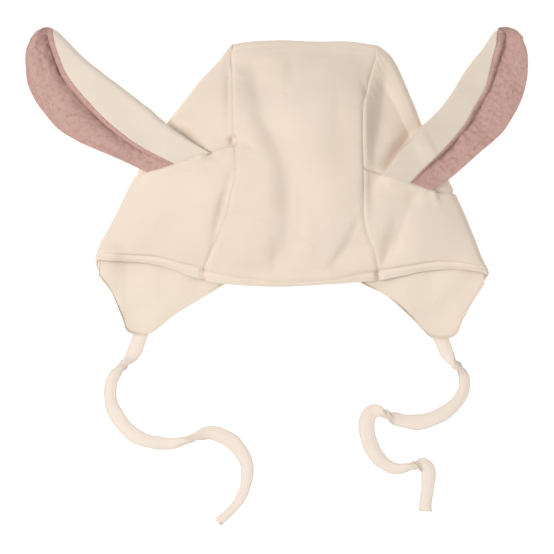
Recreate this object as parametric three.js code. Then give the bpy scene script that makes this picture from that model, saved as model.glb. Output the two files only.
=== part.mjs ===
// A baby hat with animal ears and ties, lying on its back. Millimetres, +Z up: the crown points to
// +Y, the opening to -Y, and the front layer is on top. Each panel is a thin closed wall.
import * as THREE from 'three';

// Driving sizes
const JERSEY = 1.2; // wall of the outer panels and of the ears' backs
const LINING = 1.0; // wall of the inner panels and of the ears' fronts
const GAP = 0.3; // clearance between an inner and an outer piece
const SEAM_GAP = 0.5; // clearance between two pieces that are sewn edge to edge
const FOLD = 3.6; // outer radius where the front layer folds round to the back layer
const EAR_FOLD = 3.1; // outer radius of the lengthwise fold of an ear
const EAR_REST = 0.5; // clearance between an ear and what it lies on
const EAR_TIP = 4; // how far an ear's rounded tip stands past its last station
const LIP_LIFT = 0.2; // how far an ear's upper half opens at its lip
const EDGE_CURL = 3; // how far the free edge of an ear's lower half curls up
const EAR_CURL_SHARE = 0.25; // share of an ear's length over which the lift and the curl begin
const EAR_BACK_SHARE = 0.97; // how far the back reaches on the lower half, short of the front
const FADE_HEIGHT = 8; // folds of the front layer fade out where it stands lower than this
const DOME = 0.8; // roundness of the front layer across the hat: 1 is a parabola
const CROWN_RISE = 2.9; // how far the crown's top edge bows up between the band seams
const TIE_WIDTH = 7.2;
const TIE_THICKNESS = 2.2;
const TIE_STEP = 5.6; // length of one straight stretch of a tie
const TIE_SIDES = 10;

// The front layer, a row for each cross-section: silhouette, band seams and height at the middle
const SECTIONS = [
  { y: 75.5, leftEdge: -24.5, leftSeam: -24.5, rightSeam: 55, rightEdge: 55, crest: 0 },
  { y: 71.5, leftEdge: -28, leftSeam: -24.7, rightSeam: 54.3, rightEdge: 60, crest: 0.5 },
  { y: 67.5, leftEdge: -31, leftSeam: -24.8, rightSeam: 53.4, rightEdge: 63.2, crest: 5 },
  { y: 56.5, leftEdge: -41.3, leftSeam: -24.2, rightSeam: 50.3, rightEdge: 69.2, crest: 13.5 },
  { y: 42, leftEdge: -53.4, leftSeam: -23.7, rightSeam: 46.7, rightEdge: 75.4, crest: 19.5 },
  { y: 32, leftEdge: -60.5, leftSeam: -23.6, rightSeam: 46.6, rightEdge: 79.5, crest: 21.5 },
  { y: 22, leftEdge: -66, leftSeam: -23, rightSeam: 46.8, rightEdge: 84.7, crest: 22 },
  { y: 13, leftEdge: -71.7, leftSeam: -22, rightSeam: 46.8, rightEdge: 89.1, crest: 22 },
  { y: -2, leftEdge: -81.1, leftSeam: -24.2, rightSeam: 47, rightEdge: 95.7, crest: 21 },
  { y: -11, leftEdge: -86.1, leftSeam: -25.9, rightSeam: 46.9, rightEdge: 99.6, crest: 19.5 },
  { y: -25, leftEdge: -92.9, leftSeam: -30.8, rightSeam: 47.6, rightEdge: 106.2, crest: 14.5 },
  { y: -39, leftEdge: -99.8, leftSeam: -35.8, rightSeam: 52.8, rightEdge: 111.7, crest: 7.5 },
  { y: -50, leftEdge: -101.2, leftSeam: -40.4, rightSeam: 55.6, rightEdge: 117.2, crest: 3 },
];

// Seams of the crown band on the back layer, straight from the crown to the nape
const BACK_SEAMS = [
  { y: -49.5, left: -20, right: 38 },
  { y: 75.5, left: -24.5, right: 55 },
];

// Front opening edge on a side panel, and on the crown band, by share of the way across. The inner
// panels reach the edge and roll out past the outer ones by the width in the roll column.
const SIDE_HEM = [
  { share: 0, left: -42, right: -49.8, roll: 1.6 },
  { share: 0.05, left: -42.3, right: -49.2, roll: 2.2 },
  { share: 0.27, left: -43.2, right: -47.7, roll: 2.5 },
  { share: 0.52, left: -44.8, right: -48.3, roll: 3.2 },
  { share: 0.75, left: -48.7, right: -50.6, roll: 3.6 },
  { share: 1, left: -53.4, right: -53.6, roll: 4.1 },
];
const BAND_HEM = [
  { share: 0, y: -53.4, roll: 4.1 },
  { share: 0.11, y: -55.3, roll: 3.4 },
  { share: 0.42, y: -56.9, roll: 1.4 },
  { share: 0.67, y: -55.8, roll: 1.4 },
  { share: 1, y: -53.6, roll: 4.1 },
];

// Lower edge of the back layer from the silhouette to the band seam: an ear flap on each side. The
// roll column is that of the tables above.
const FLAP = [
  { share: 0, left: -42, right: -49.8, roll: 1.6 },
  { share: 0.012, left: -47.3, right: -52.2, roll: 1.8 },
  { share: 0.05, left: -51.7, right: -56.2, roll: 1.4 },
  { share: 0.13, left: -60.7, right: -66, roll: 0.8 },
  { share: 0.2, left: -74, right: -76.4, roll: 0.8 },
  { share: 0.23, left: -81, right: -82.2, roll: 0.8 },
  { share: 0.28, left: -82.9, right: -84.9, roll: 0.8 },
  { share: 0.36, left: -83.2, right: -85.3, roll: 0.8 },
  { share: 0.42, left: -81, right: -84.6, roll: 0.8 },
  { share: 0.56, left: -71.9, right: -73.4, roll: 0.8 },
  { share: 0.72, left: -64, right: -62.3, roll: 0.8 },
  { share: 0.89, left: -55.7, right: -55.3, roll: 0.8 },
  { share: 1, left: -49.5, right: -49.5, roll: 0.8 },
];
const NAPE_BOW = 2.5; // how far the nape edge curves up between the flaps
const NAPE_ROLL = FLAP.at(-1).roll; // roll of the inner band past the outer one at the nape

// Seam that holds the ears, by share of the way from the silhouette to the band seam
const EAR_SEAM = [
  { share: 0, left: 3.9, right: -5.8, backLeft: 3.9, backRight: -5.8 },
  { share: 0.23, left: 6.8, right: -4.7, backLeft: 5, backRight: -4 },
  { share: 0.47, left: 11.6, right: -0.8, backLeft: 6, backRight: -2.5 },
  { share: 0.75, left: 17.2, right: 4.1, backLeft: 7, backRight: -1 },
  { share: 1, left: 21.4, right: 7.4, backLeft: 8, backRight: 0 },
];

// Soft folds of the front layer: a dent where depth is positive and a ridge where it is negative.
// The turn is the angle of the fold's length from +X in degrees. A fold reaches as far as its width
// to the left of its length and its farWidth to the right.
const FOLDS = [
  { x: -9.5, y: 50, turn: -79, length: 18, width: 11, farWidth: 7.5, depth: 4.8 },
  { x: -0.5, y: 23, turn: -65, length: 14, width: 12, farWidth: 7, depth: 4.4 },
  { x: 7, y: -5, turn: -87, length: 18, width: 13, farWidth: 7.2, depth: 4.2 },
  { x: 4.5, y: -34, turn: -102, length: 13, width: 10, farWidth: 6, depth: 2.2 },
  { x: 7.5, y: 62, turn: -92, length: 11, width: 4, farWidth: 4, depth: 1.2 },
  { x: 56, y: 38, turn: -98, length: 24, width: 22, farWidth: 4.5, depth: 5.6 },
  { x: 37, y: -37, turn: -123, length: 13, width: 12, farWidth: 3, depth: 2.6 },
  { x: 64, y: -6.2, turn: -15, length: 18, width: 4, farWidth: 14, depth: 1.6 },
  { x: 62, y: -33, turn: -106, length: 16, width: 8, farWidth: 4, depth: 2.8 },
];

// The ears, a row for each station from the base seam to the tip. Fold is the lengthwise fold on the
// upper side, lip the free edge of the back that is folded over, edge the free edge of the lower half
// and roll how far the front rolls out past the lip.
const EARS = {
  left: [
    { foldX: -38, foldY: 16.4, lipX: -56.1, lipY: 9.8, edgeX: -70.4, edgeY: 4.9, rise: 13, roll: 1.9 },
    { foldX: -50, foldY: 24, lipX: -63, lipY: 13.4, edgeX: -74, edgeY: 6.8, rise: 12, roll: 2 },
    { foldX: -61, foldY: 31.6, lipX: -74, lipY: 19.6, edgeX: -83.3, edgeY: 11, rise: 10.5, roll: 2.2 },
    { foldX: -70, foldY: 39, lipX: -83.5, lipY: 26.3, edgeX: -95.2, edgeY: 15.6, rise: 8.5, roll: 2.4 },
    { foldX: -80, foldY: 47.5, lipX: -93.5, lipY: 34.8, edgeX: -108, edgeY: 21.6, rise: 6.5, roll: 2.6 },
    { foldX: -89.5, foldY: 55, lipX: -102, lipY: 43.6, edgeX: -118.6, edgeY: 28, rise: 4.6, roll: 2.8 },
    { foldX: -99, foldY: 62, lipX: -109.5, lipY: 52.2, edgeX: -126.5, edgeY: 36.8, rise: 3, roll: 3 },
    { foldX: -106.3, foldY: 68.2, lipX: -115, lipY: 60, edgeX: -132, edgeY: 44.3, rise: 1.8, roll: 3.2 },
    { foldX: -113.3, foldY: 75.1, lipX: -118.9, lipY: 69.5, edgeX: -136.3, edgeY: 53.3, rise: 0.9, roll: 3.3 },
    { foldX: -117.7, foldY: 79.3, lipX: -121.2, lipY: 76.5, edgeX: -137.7, edgeY: 62.3, rise: 0.4, roll: 3.4 },
    { foldX: -120.2, foldY: 81.8, lipX: -122.1, lipY: 80.9, edgeX: -137.8, edgeY: 71.2, rise: 0.1, roll: 3.5 },
    { foldX: -122.2, foldY: 83.3, lipX: -122.4, lipY: 83.1, edgeX: -135.3, edgeY: 77.8, rise: 0, roll: 3.5 },
  ],
  right: [
    { foldX: 58.8, foldY: 4.9, lipX: 72.8, lipY: 0, edgeX: 85.4, edgeY: -3.9, rise: 13, roll: 0.6 },
    { foldX: 67.7, foldY: 17.8, lipX: 82, lipY: 9.8, edgeX: 93.8, edgeY: 1.7, rise: 11.5, roll: 0.8 },
    { foldX: 75.8, foldY: 26.2, lipX: 89, lipY: 16.6, edgeX: 101.6, edgeY: 8.2, rise: 10, roll: 1 },
    { foldX: 82.8, foldY: 33.4, lipX: 96, lipY: 24.2, edgeX: 109.5, edgeY: 15, rise: 8, roll: 1.2 },
    { foldX: 89.4, foldY: 41, lipX: 102.2, lipY: 32, edgeX: 117.2, edgeY: 21.4, rise: 6, roll: 1.4 },
    { foldX: 95.4, foldY: 49.3, lipX: 107.2, lipY: 40.6, edgeX: 124.3, edgeY: 28.6, rise: 4.3, roll: 1.7 },
    { foldX: 101.6, foldY: 59, lipX: 113.4, lipY: 51.6, edgeX: 131, edgeY: 39.5, rise: 2.6, roll: 2.1 },
    { foldX: 106.8, foldY: 66.3, lipX: 115.8, lipY: 59.9, edgeX: 134.4, edgeY: 47.3, rise: 1.6, roll: 2.6 },
    { foldX: 111.7, foldY: 72.3, lipX: 117.6, lipY: 68, edgeX: 136.6, edgeY: 55.7, rise: 0.8, roll: 3.1 },
    { foldX: 115.7, foldY: 77.5, lipX: 119.4, lipY: 74.8, edgeX: 137.5, edgeY: 63.2, rise: 0.4, roll: 3.5 },
    { foldX: 118.3, foldY: 81.2, lipX: 120.1, lipY: 79.8, edgeX: 137.2, edgeY: 71.8, rise: 0.1, roll: 3.8 },
    { foldX: 120.4, foldY: 83.3, lipX: 120.6, lipY: 83.1, edgeX: 135, edgeY: 78.4, rise: 0, roll: 3.9 },
  ],
};
const EAR_SUPPORT_BLEND = 2; // how softly an ear leaves the hat that it lies on
const SUPPORT_OUTSIDE = 12; // the hat's support fades out this far outside its silhouette,
const SUPPORT_INSIDE = 4; // starting this far inside it

// Centrelines of the ties on the surface, from the flap tip to the free end
const TIE_LEFT = [
  [-75.3, -84.2], [-77.4, -90.5], [-79.8, -95.4], [-84.1, -99.3], [-88, -104.2], [-90.8, -108.6],
  [-91.8, -114.1], [-91.3, -121.8], [-87.9, -128.7], [-83.8, -134.3], [-78.1, -139.4], [-71.5, -142.2],
  [-64.4, -143.3], [-56.7, -143.8], [-49.5, -141.1], [-44, -139.4], [-37.4, -137.2], [-31.4, -138.9],
  [-24.8, -142.2], [-19.8, -148.2], [-16.5, -154.8], [-16.5, -163.1], [-18.7, -170.8], [-22.6, -177.4],
  [-28.1, -182.9], [-32.5, -186.7],
];
const TIE_RIGHT = [
  [90.2, -86.3], [90.8, -87.7], [93, -93.2], [95.7, -98.2], [100.7, -103.1], [102.9, -107],
  [102.9, -113], [101.2, -117.4], [97.9, -121.8], [93, -126.2], [86.4, -129.5], [79.8, -131.7],
  [72.6, -131.7], [65.5, -130.1], [60, -127.9], [55.6, -125.7], [51.7, -126.2], [49.5, -130.1],
  [49, -136.1], [50.6, -142.2], [53.4, -148.8], [58.3, -154.3], [64.4, -157.6], [69.9, -157],
  [75.9, -155.4], [80.3, -154.9], [83.1, -157.6], [83.1, -163.1], [82.5, -170.2], [81.4, -176.8],
  [81.4, -180.7],
];

// How the panels are divided: shares of the way from the silhouette (0) to the band seam (1)
const FRONT_SHARES = [1, 0.8, 0.6, 0.42, 0.27, 0.14, 0.05, 0.012];
const BAND_COLUMNS = 10;
const LOWER_ROWS = 5;
const TOP_ROWS = 7;
const CROWN_ROWS = 4;
const EAR_LOWER_SHARES = [1, 0.75, 0.5, 0.25, 0.08, 0.02];
const EAR_UPPER_SHARES = [0.02, 0.08, 0.3, 0.65, 1];
const EAR_TIP_ROWS = [1.35, 1.65];

const CROWN = SECTIONS[0].y;
const TINY = 1e-4;
const lerp = THREE.MathUtils.lerp;
const clamp = THREE.MathUtils.clamp;
const smoothstep = THREE.MathUtils.smoothstep;

const sortedTables = new Map();

function sorted(table, key) {
  if (!sortedTables.has(table)) {
    sortedTables.set(table, [...table].sort((a, b) => a[key] - b[key]));
  }
  return sortedTables.get(table);
}

// Reads a named column of a table between its rows, along a smooth curve through them.
function read(table, key, column, at) {
  const rows = sorted(table, key);
  const last = rows.length - 1;
  if (at <= rows[0][key]) return rows[0][column];
  if (at >= rows[last][key]) return rows[last][column];
  const i = rows.findIndex((row, n) => at < rows[n + 1][key]);
  const slope = (n) => {
    const low = Math.max(n - 1, 0);
    const high = Math.min(n + 1, last);
    return (rows[high][column] - rows[low][column]) / (rows[high][key] - rows[low][key]);
  };
  const span = rows[i + 1][key] - rows[i][key];
  const t = (at - rows[i][key]) / span;
  return hermite(rows[i][column], rows[i + 1][column], slope(i) * span, slope(i + 1) * span, t);
}

function hermite(from, to, leave, arrive, t) {
  const t2 = t * t;
  const t3 = t2 * t;
  return (2 * t3 - 3 * t2 + 1) * from + (t3 - 2 * t2 + t) * leave
    + (3 * t2 - 2 * t3) * to + (t3 - t2) * arrive;
}

// A value on the straight runs between the values of a list, at a place counted along the list.
function between(values, place) {
  const i = clamp(Math.floor(place), 0, values.length - 2);
  return lerp(values[i], values[i + 1], place - i);
}

// Height of a quarter round at a distance from its rim, from 0 at the rim to 1 past its radius.
function quarterRound(distance, radius) {
  const inward = 1 - clamp(radius > TINY ? distance / radius : distance, 0, 1);
  return Math.sqrt(1 - inward * inward);
}

function foldDepth(x, y) {
  return FOLDS.reduce((sum, fold) => {
    const turn = THREE.MathUtils.degToRad(fold.turn);
    const along = (x - fold.x) * Math.cos(turn) + (y - fold.y) * Math.sin(turn);
    const across = (y - fold.y) * Math.cos(turn) - (x - fold.x) * Math.sin(turn);
    const width = across > 0 ? fold.width : fold.farWidth;
    return sum + fold.depth * Math.exp(-((along / fold.length) ** 2) - (across / width) ** 2);
  }, 0);
}

// How far the front layer stands above the doubled edge of the hat.
function frontRise(x, y) {
  const left = read(SECTIONS, 'y', 'leftEdge', y);
  const right = read(SECTIONS, 'y', 'rightEdge', y);
  const across = (2 * x - left - right) / Math.max(right - left, TINY);
  const room = Math.max(1 - across * across, 0);
  const crest = read(SECTIONS, 'y', 'crest', y);
  const fade = clamp((crest * room) / FADE_HEIGHT, 0, 1);
  return crest * room ** DOME - foldDepth(x, y) * fade;
}

// What an ear rests on: the front layer, falling away softly past the silhouette.
function frontSupport(x, y) {
  const left = read(SECTIONS, 'y', 'leftEdge', y);
  const right = read(SECTIONS, 'y', 'rightEdge', y);
  const inside = Math.min(x - left, right - x);
  const side = smoothstep(inside, -SUPPORT_OUTSIDE, SUPPORT_INSIDE);
  const top = 1 - smoothstep(y, CROWN - SUPPORT_INSIDE, CROWN + SUPPORT_INSIDE);
  return (2 * FOLD + frontRise(x, y)) * side * top;
}

// A point of a side panel. Across runs from -1 at the front band seam over the silhouette at 0 to 1
// at the back band seam. Up is -1 at the edge of the inner panel, 0 at that of the outer one, 1 at
// the ear seam and 2 at the crown.
function sidePoint(side, across, up) {
  const share = Math.abs(across);
  const front = across < 0;
  const edge = front ? SIDE_HEM : FLAP;
  const roll = read(edge, 'share', 'roll', share);
  const hem = read(edge, 'share', side, share) + roll;
  const seamColumn = front ? side : side === 'left' ? 'backLeft' : 'backRight';
  const seam = read(EAR_SEAM, 'share', seamColumn, share);
  const top = CROWN - FOLD * share;
  const y = between([hem - roll, hem, seam, top], up + 1);
  const level = y + FOLD * share * Math.max(up - 1, 0);
  const seamX = (at) => (front
    ? read(SECTIONS, 'y', `${side}Seam`, at)
    : read(BACK_SEAMS, 'y', side, at));
  const reach = read(SECTIONS, 'y', `${side}Edge`, level) - seamX(level);
  const x = seamX(y) + (1 - share) * reach;
  const radius = Math.min(FOLD, Math.abs(reach));
  const height = FOLD * quarterRound(radius > TINY ? share * Math.abs(reach) : share, radius);
  return new THREE.Vector3(x, y, front ? FOLD + height + frontRise(x, y) : FOLD - height);
}

// A point of the crown band. Across runs from 0 at the left seam to 1 at the right seam. Along is -1
// at the inner panel's edge on the forehead, 0 at the outer one's, 1 at the ear seam, 2 at the crown
// fold, 3 past it, 4 level with the ear seam on the back layer, and 5 and 6 at the nape's two edges.
function bandPoint(across, along) {
  const crown = CROWN + CROWN_RISE * 4 * across * (1 - across);
  const seam = (left, right) => lerp(EAR_SEAM.at(-1)[left], EAR_SEAM.at(-1)[right], across);
  const point = new THREE.Vector3();
  if (along < 2) {
    const edge = read(BAND_HEM, 'share', 'y', across);
    const hem = edge + read(BAND_HEM, 'share', 'roll', across);
    point.y = between([edge, hem, seam('left', 'right'), crown - FOLD], along + 1);
    const left = read(SECTIONS, 'y', 'leftSeam', point.y);
    point.x = lerp(left, read(SECTIONS, 'y', 'rightSeam', point.y), across);
    point.z = 2 * FOLD + frontRise(point.x, point.y);
  } else if (along <= 3) {
    const turn = (along - 2) * Math.PI;
    point.y = crown - FOLD + FOLD * Math.sin(turn);
    const seams = turn < Math.PI / 2
      ? [read(SECTIONS, 'y', 'leftSeam', point.y), read(SECTIONS, 'y', 'rightSeam', point.y)]
      : [read(BACK_SEAMS, 'y', 'left', point.y), read(BACK_SEAMS, 'y', 'right', point.y)];
    point.x = lerp(seams[0], seams[1], across);
    point.z = FOLD + FOLD * Math.cos(turn);
  } else {
    const nape = FLAP.at(-1).left + NAPE_BOW * 4 * across * (1 - across);
    const rows = [crown - FOLD, seam('backLeft', 'backRight'), nape + NAPE_ROLL, nape];
    point.y = between(rows, along - 3);
    const left = read(BACK_SEAMS, 'y', 'left', point.y);
    point.x = lerp(left, read(BACK_SEAMS, 'y', 'right', point.y), across);
    point.z = 0;
  }
  return point;
}

// The lower side of an ear rests on the hat and then slopes down to the surface.
function earUnderside(x, y, rise) {
  const hat = frontSupport(x, y) + EAR_REST;
  const free = rise + EAR_REST;
  const blend = EAR_SUPPORT_BLEND;
  return blend * Math.log(Math.exp(hat / blend) + Math.exp(free / blend));
}

// A point of an ear. Across is -1 at the free edge of the lower half, 0 at the fold, 1 at the lip and
// 2 at the edge rolled out past it. Along is 0 at the base, 1 at the last station and 2 at the tip.
function earPoint(side, across, along) {
  const table = EARS[side].map((row, i, rows) => ({ ...row, along: i / (rows.length - 1) }));
  const at = (column) => read(table, 'along', column, along);
  const place = (name) => new THREE.Vector2(at(`${name}X`), at(`${name}Y`));
  const lower = across < 0;
  const fold = place('fold');
  const edge = place('edge');
  const rim = lower ? edge : place('lip');
  const toward = edge.clone().sub(fold).normalize();
  const share = Math.min(Math.abs(across), 1);
  const roll = lower ? 0 : at('roll');
  const past = clamp(across - 1, 0, 1) * roll;
  const turn = clamp(along - 1, 0, 1) * (Math.PI / 2);
  const outward = new THREE.Vector2(toward.y, -toward.x).multiplyScalar(side === 'left' ? 1 : -1);
  const middle = fold.clone().lerp(edge, 0.5);
  const flat = fold.clone().lerp(rim, share).addScaledVector(toward, past);
  flat.sub(middle).multiplyScalar(Math.cos(turn)).add(middle);
  flat.addScaledVector(outward, EAR_TIP * Math.sin(turn));
  const reach = rim.distanceTo(fold);
  const radius = Math.min(EAR_FOLD, reach + roll);
  const height = EAR_FOLD * quarterRound(share * reach + past, radius);
  const begin = smoothstep(along, 0, EAR_CURL_SHARE);
  const lift = (lower ? EDGE_CURL : LIP_LIFT) * share * share * begin;
  const under = earUnderside(flat.x, flat.y, at('rise'));
  return new THREE.Vector3(flat.x, flat.y, under + EAR_FOLD + Math.sign(across) * height + lift);
}

// The outward normal of a surface, from small steps across and along it.
function surfaceNormal(surface, across, along, hand) {
  const step = 1e-3;
  const overAcross = surface(across + step, along).sub(surface(across - step, along));
  const overAlong = surface(across, along + step).sub(surface(across, along - step));
  return overAcross.cross(overAlong).normalize().multiplyScalar(hand);
}

// A closed wall between two depths under a surface. Edges that meet a neighbour, named in meets as
// left, right, start and end, are drawn in by half the seam's gap.
function wall({ surface, normal, across, along, from, to, meets = [], flip = false }) {
  const columns = across.length;
  const rows = along.length;
  const at = (i, j) => j * columns + i;
  const points = along.flatMap((v) => across.map((u) => surface(u, v)));
  const normals = along.flatMap((v) => across.map((u) => normal(u, v)));
  const original = points.map((point) => point.clone());
  const drawIn = (edge, inner) => {
    const pull = original[inner].clone().sub(original[edge]).setLength(SEAM_GAP / 2);
    points[edge].add(pull);
  };
  for (let j = 0; j < rows; j += 1) {
    if (meets.includes('left')) drawIn(at(0, j), at(1, j));
    if (meets.includes('right')) drawIn(at(columns - 1, j), at(columns - 2, j));
  }
  for (let i = 0; i < columns; i += 1) {
    if (meets.includes('start')) drawIn(at(i, 0), at(i, 1));
    if (meets.includes('end')) drawIn(at(i, rows - 1), at(i, rows - 2));
  }
  const layer = (depth) => points.flatMap((point, n) => (
    point.clone().addScaledVector(normals[n], -depth).toArray()));
  const inner = columns * rows;
  const faces = [];
  const quad = (a, b, c, d) => {
    faces.push(...(flip ? [a, c, b, a, d, c] : [a, b, c, a, c, d]));
  };
  for (let j = 0; j < rows - 1; j += 1) {
    for (let i = 0; i < columns - 1; i += 1) {
      const [a, b, c, d] = [at(i, j), at(i + 1, j), at(i + 1, j + 1), at(i, j + 1)];
      quad(a, b, c, d);
      quad(a + inner, d + inner, c + inner, b + inner);
    }
  }
  const rim = (ring) => ring.slice(1).forEach((next, n) => {
    quad(next, ring[n], ring[n] + inner, next + inner);
  });
  const down = (i) => Array.from({ length: rows }, (_, j) => at(i, j));
  const over = (j) => Array.from({ length: columns }, (_, i) => at(i, j));
  rim([...over(0), ...down(columns - 1).slice(1)]);
  rim([...over(rows - 1).reverse(), ...down(0).reverse().slice(1)]);
  const geometry = new THREE.BufferGeometry();
  const position = new Float32Array([...layer(from), ...layer(to)]);
  geometry.setAttribute('position', new THREE.BufferAttribute(position, 3));
  geometry.setIndex(faces);
  geometry.computeVertexNormals();
  return geometry;
}

function spaced(from, to, count) {
  return Array.from({ length: count + 1 }, (_, i) => lerp(from, to, i / count));
}

const OUTER = { from: 0, to: JERSEY };
const INNER = { from: JERSEY + GAP, to: JERSEY + GAP + LINING };
const SIDE_ACROSS = [...FRONT_SHARES.map((share) => -share), ...FLAP.map((row) => row.share)];

function sideWall(side, depths, along, meets) {
  const hand = side === 'left' ? -1 : 1;
  const surface = (across, up) => sidePoint(side, clamp(across, -1, 1), clamp(up, -1, 2));
  // At the crown the wall's end lies along the folded edge of the band and takes its normal.
  const normal = (across, up) => {
    if (up < 2) return surfaceNormal(surface, across, up, hand);
    const share = Math.abs(across);
    const height = Math.sqrt(1 - (1 - share) ** 2);
    return new THREE.Vector3(0, 1 - share, across < 0 ? height : -height);
  };
  return wall({
    surface, normal, across: SIDE_ACROSS, along, meets, ...depths, flip: side === 'left',
  });
}

function bandWall(depths) {
  const inner = depths === INNER;
  const surface = (across, along) => bandPoint(clamp(across, 0, 1), clamp(along, -1, 6));
  const along = [
    ...(inner ? [-1] : []),
    ...spaced(0, 1, LOWER_ROWS),
    ...spaced(1, 2, TOP_ROWS).slice(1),
    ...spaced(2, 3, CROWN_ROWS).slice(1),
    ...spaced(3, 4, TOP_ROWS).slice(1),
    ...spaced(4, 5, LOWER_ROWS).slice(1),
    ...(inner ? [6] : []),
  ];
  return wall({
    surface,
    normal: (u, v) => surfaceNormal(surface, u, v, 1),
    across: spaced(0, 1, BAND_COLUMNS),
    along,
    meets: ['left', 'right'],
    ...depths,
  });
}

function earWall(side, depths) {
  const hand = side === 'left' ? -1 : 1;
  const surface = (across, along) => earPoint(side, across, Math.max(along, 0));
  const back = depths === OUTER;
  const across = [
    ...EAR_LOWER_SHARES.map((share) => -share * (back ? EAR_BACK_SHARE : 1)),
    0,
    ...EAR_UPPER_SHARES,
    ...(back ? [] : [2]),
  ];
  return wall({
    surface,
    normal: (u, v) => surfaceNormal(surface, u, v, hand),
    across,
    along: [...spaced(0, 1, EARS[side].length - 1), ...(back ? [] : EAR_TIP_ROWS)],
    ...depths,
    flip: side === 'left',
  });
}

function tie(route) {
  const centre = route.map(([x, y]) => new THREE.Vector3(x, y, TIE_THICKNESS / 2));
  const path = new THREE.CatmullRomCurve3(centre, false, 'centripetal');
  const section = new THREE.Shape();
  section.absellipse(0, 0, TIE_THICKNESS / 2, TIE_WIDTH / 2, 0, 2 * Math.PI);
  const outline = new THREE.Shape(section.getSpacedPoints(TIE_SIDES).slice(0, TIE_SIDES));
  return new THREE.ExtrudeGeometry(outline, {
    steps: Math.round(path.getLength() / TIE_STEP),
    extrudePath: path,
    bevelEnabled: false,
  });
}

const CREAM = { color: 0xefe3d2, roughness: 0.9, metalness: 0 };
const PALE = { color: 0xf2e9db, roughness: 0.9, metalness: 0 };
const PINK = { color: 0xc9a096, roughness: 0.95, metalness: 0 };

const hat = new THREE.Group();

function add(name, geometry, finish) {
  const mesh = new THREE.Mesh(geometry, new THREE.MeshStandardMaterial(finish));
  mesh.name = name;
  hat.add(mesh);
}

add('crown_band', bandWall(OUTER), CREAM);
add('lining_band', bandWall(INNER), PALE);
for (const side of ['left', 'right']) {
  const lower = spaced(0, 1, LOWER_ROWS);
  const top = spaced(1, 2, TOP_ROWS);
  const seams = ['left', 'right'];
  add(`side_lower_${side}`, sideWall(side, OUTER, lower, [...seams, 'end']), CREAM);
  add(`side_top_${side}`, sideWall(side, OUTER, top, [...seams, 'start', 'end']), CREAM);
  const whole = [-1, ...lower, ...top.slice(1)];
  add(`lining_side_${side}`, sideWall(side, INNER, whole, [...seams, 'end']), PALE);
  add(`ear_back_${side}`, earWall(side, OUTER), CREAM);
  add(`ear_front_${side}`, earWall(side, INNER), PINK);
  add(`tie_${side}`, tie(side === 'left' ? TIE_LEFT : TIE_RIGHT), PALE);
}

export default hat;
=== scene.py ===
"""A baby hat with animal ears and ties, lying on its back: its cloth, seams, stitches and stage.

Metres, in the frame's axes: the crown points to +Y, the opening to -Y, the front layer is on top.
"""
import math

import bmesh
import bpy
import numpy as np
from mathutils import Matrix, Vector


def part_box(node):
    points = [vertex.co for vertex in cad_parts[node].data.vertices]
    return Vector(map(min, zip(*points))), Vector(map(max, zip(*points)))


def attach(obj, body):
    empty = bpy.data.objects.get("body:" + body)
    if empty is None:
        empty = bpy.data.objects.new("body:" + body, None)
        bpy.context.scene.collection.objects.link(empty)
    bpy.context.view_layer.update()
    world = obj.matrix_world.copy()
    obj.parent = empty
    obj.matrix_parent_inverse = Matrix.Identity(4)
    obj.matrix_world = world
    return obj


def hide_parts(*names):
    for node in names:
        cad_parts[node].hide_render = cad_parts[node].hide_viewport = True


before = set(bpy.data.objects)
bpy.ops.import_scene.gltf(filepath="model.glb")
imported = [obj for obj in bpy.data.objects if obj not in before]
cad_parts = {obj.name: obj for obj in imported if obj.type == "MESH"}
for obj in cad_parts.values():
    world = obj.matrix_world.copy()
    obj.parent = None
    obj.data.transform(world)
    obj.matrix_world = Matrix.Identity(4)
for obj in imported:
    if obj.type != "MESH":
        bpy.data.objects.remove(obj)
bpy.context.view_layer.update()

bl_info = {
    "name": "Baby hat with ears",
    "version": (1, 0, 0),
    "blender": (4, 5, 0),
    "location": "View3D > Sidebar > Hat",
    "description": "Builds a jersey baby hat with muslin-lined ears and ties, lying on a pale floor",
    "category": "Object",
}


# ---------------------------------------------------------------- tables

def table(names, *rows):
    """Named columns, sorted by the first one."""
    columns = np.array(sorted(rows), dtype=float).T
    return {"key": columns[0], **dict(zip(names.split(), columns))}


# The front layer, a row for each cross-section: silhouette, band seams and height at the middle
SECTIONS = table(
    "y left_edge left_seam right_seam right_edge crest",
    (0.0755, -0.0245, -0.0245, 0.0550, 0.0550, 0.0000),
    (0.0715, -0.0280, -0.0247, 0.0543, 0.0600, 0.0020),
    (0.0675, -0.0310, -0.0248, 0.0534, 0.0632, 0.0052),
    (0.0565, -0.0413, -0.0242, 0.0503, 0.0692, 0.0128),
    (0.0420, -0.0534, -0.0237, 0.0467, 0.0754, 0.0195),
    (0.0320, -0.0605, -0.0236, 0.0466, 0.0795, 0.0215),
    (0.0220, -0.0660, -0.0230, 0.0468, 0.0847, 0.0220),
    (0.0130, -0.0717, -0.0220, 0.0468, 0.0891, 0.0220),
    (-0.0020, -0.0811, -0.0242, 0.0470, 0.0957, 0.0210),
    (-0.0110, -0.0861, -0.0259, 0.0469, 0.0996, 0.0195),
    (-0.0250, -0.0929, -0.0308, 0.0476, 0.1062, 0.0145),
    (-0.0390, -0.0998, -0.0358, 0.0528, 0.1117, 0.0075),
    (-0.0500, -0.1012, -0.0404, 0.0556, 0.1172, 0.0030),
)
CROWN = 0.0755

BACK_SEAMS = table("y left right", (-0.0495, -0.020, 0.038), (CROWN, -0.0245, 0.055))

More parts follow.
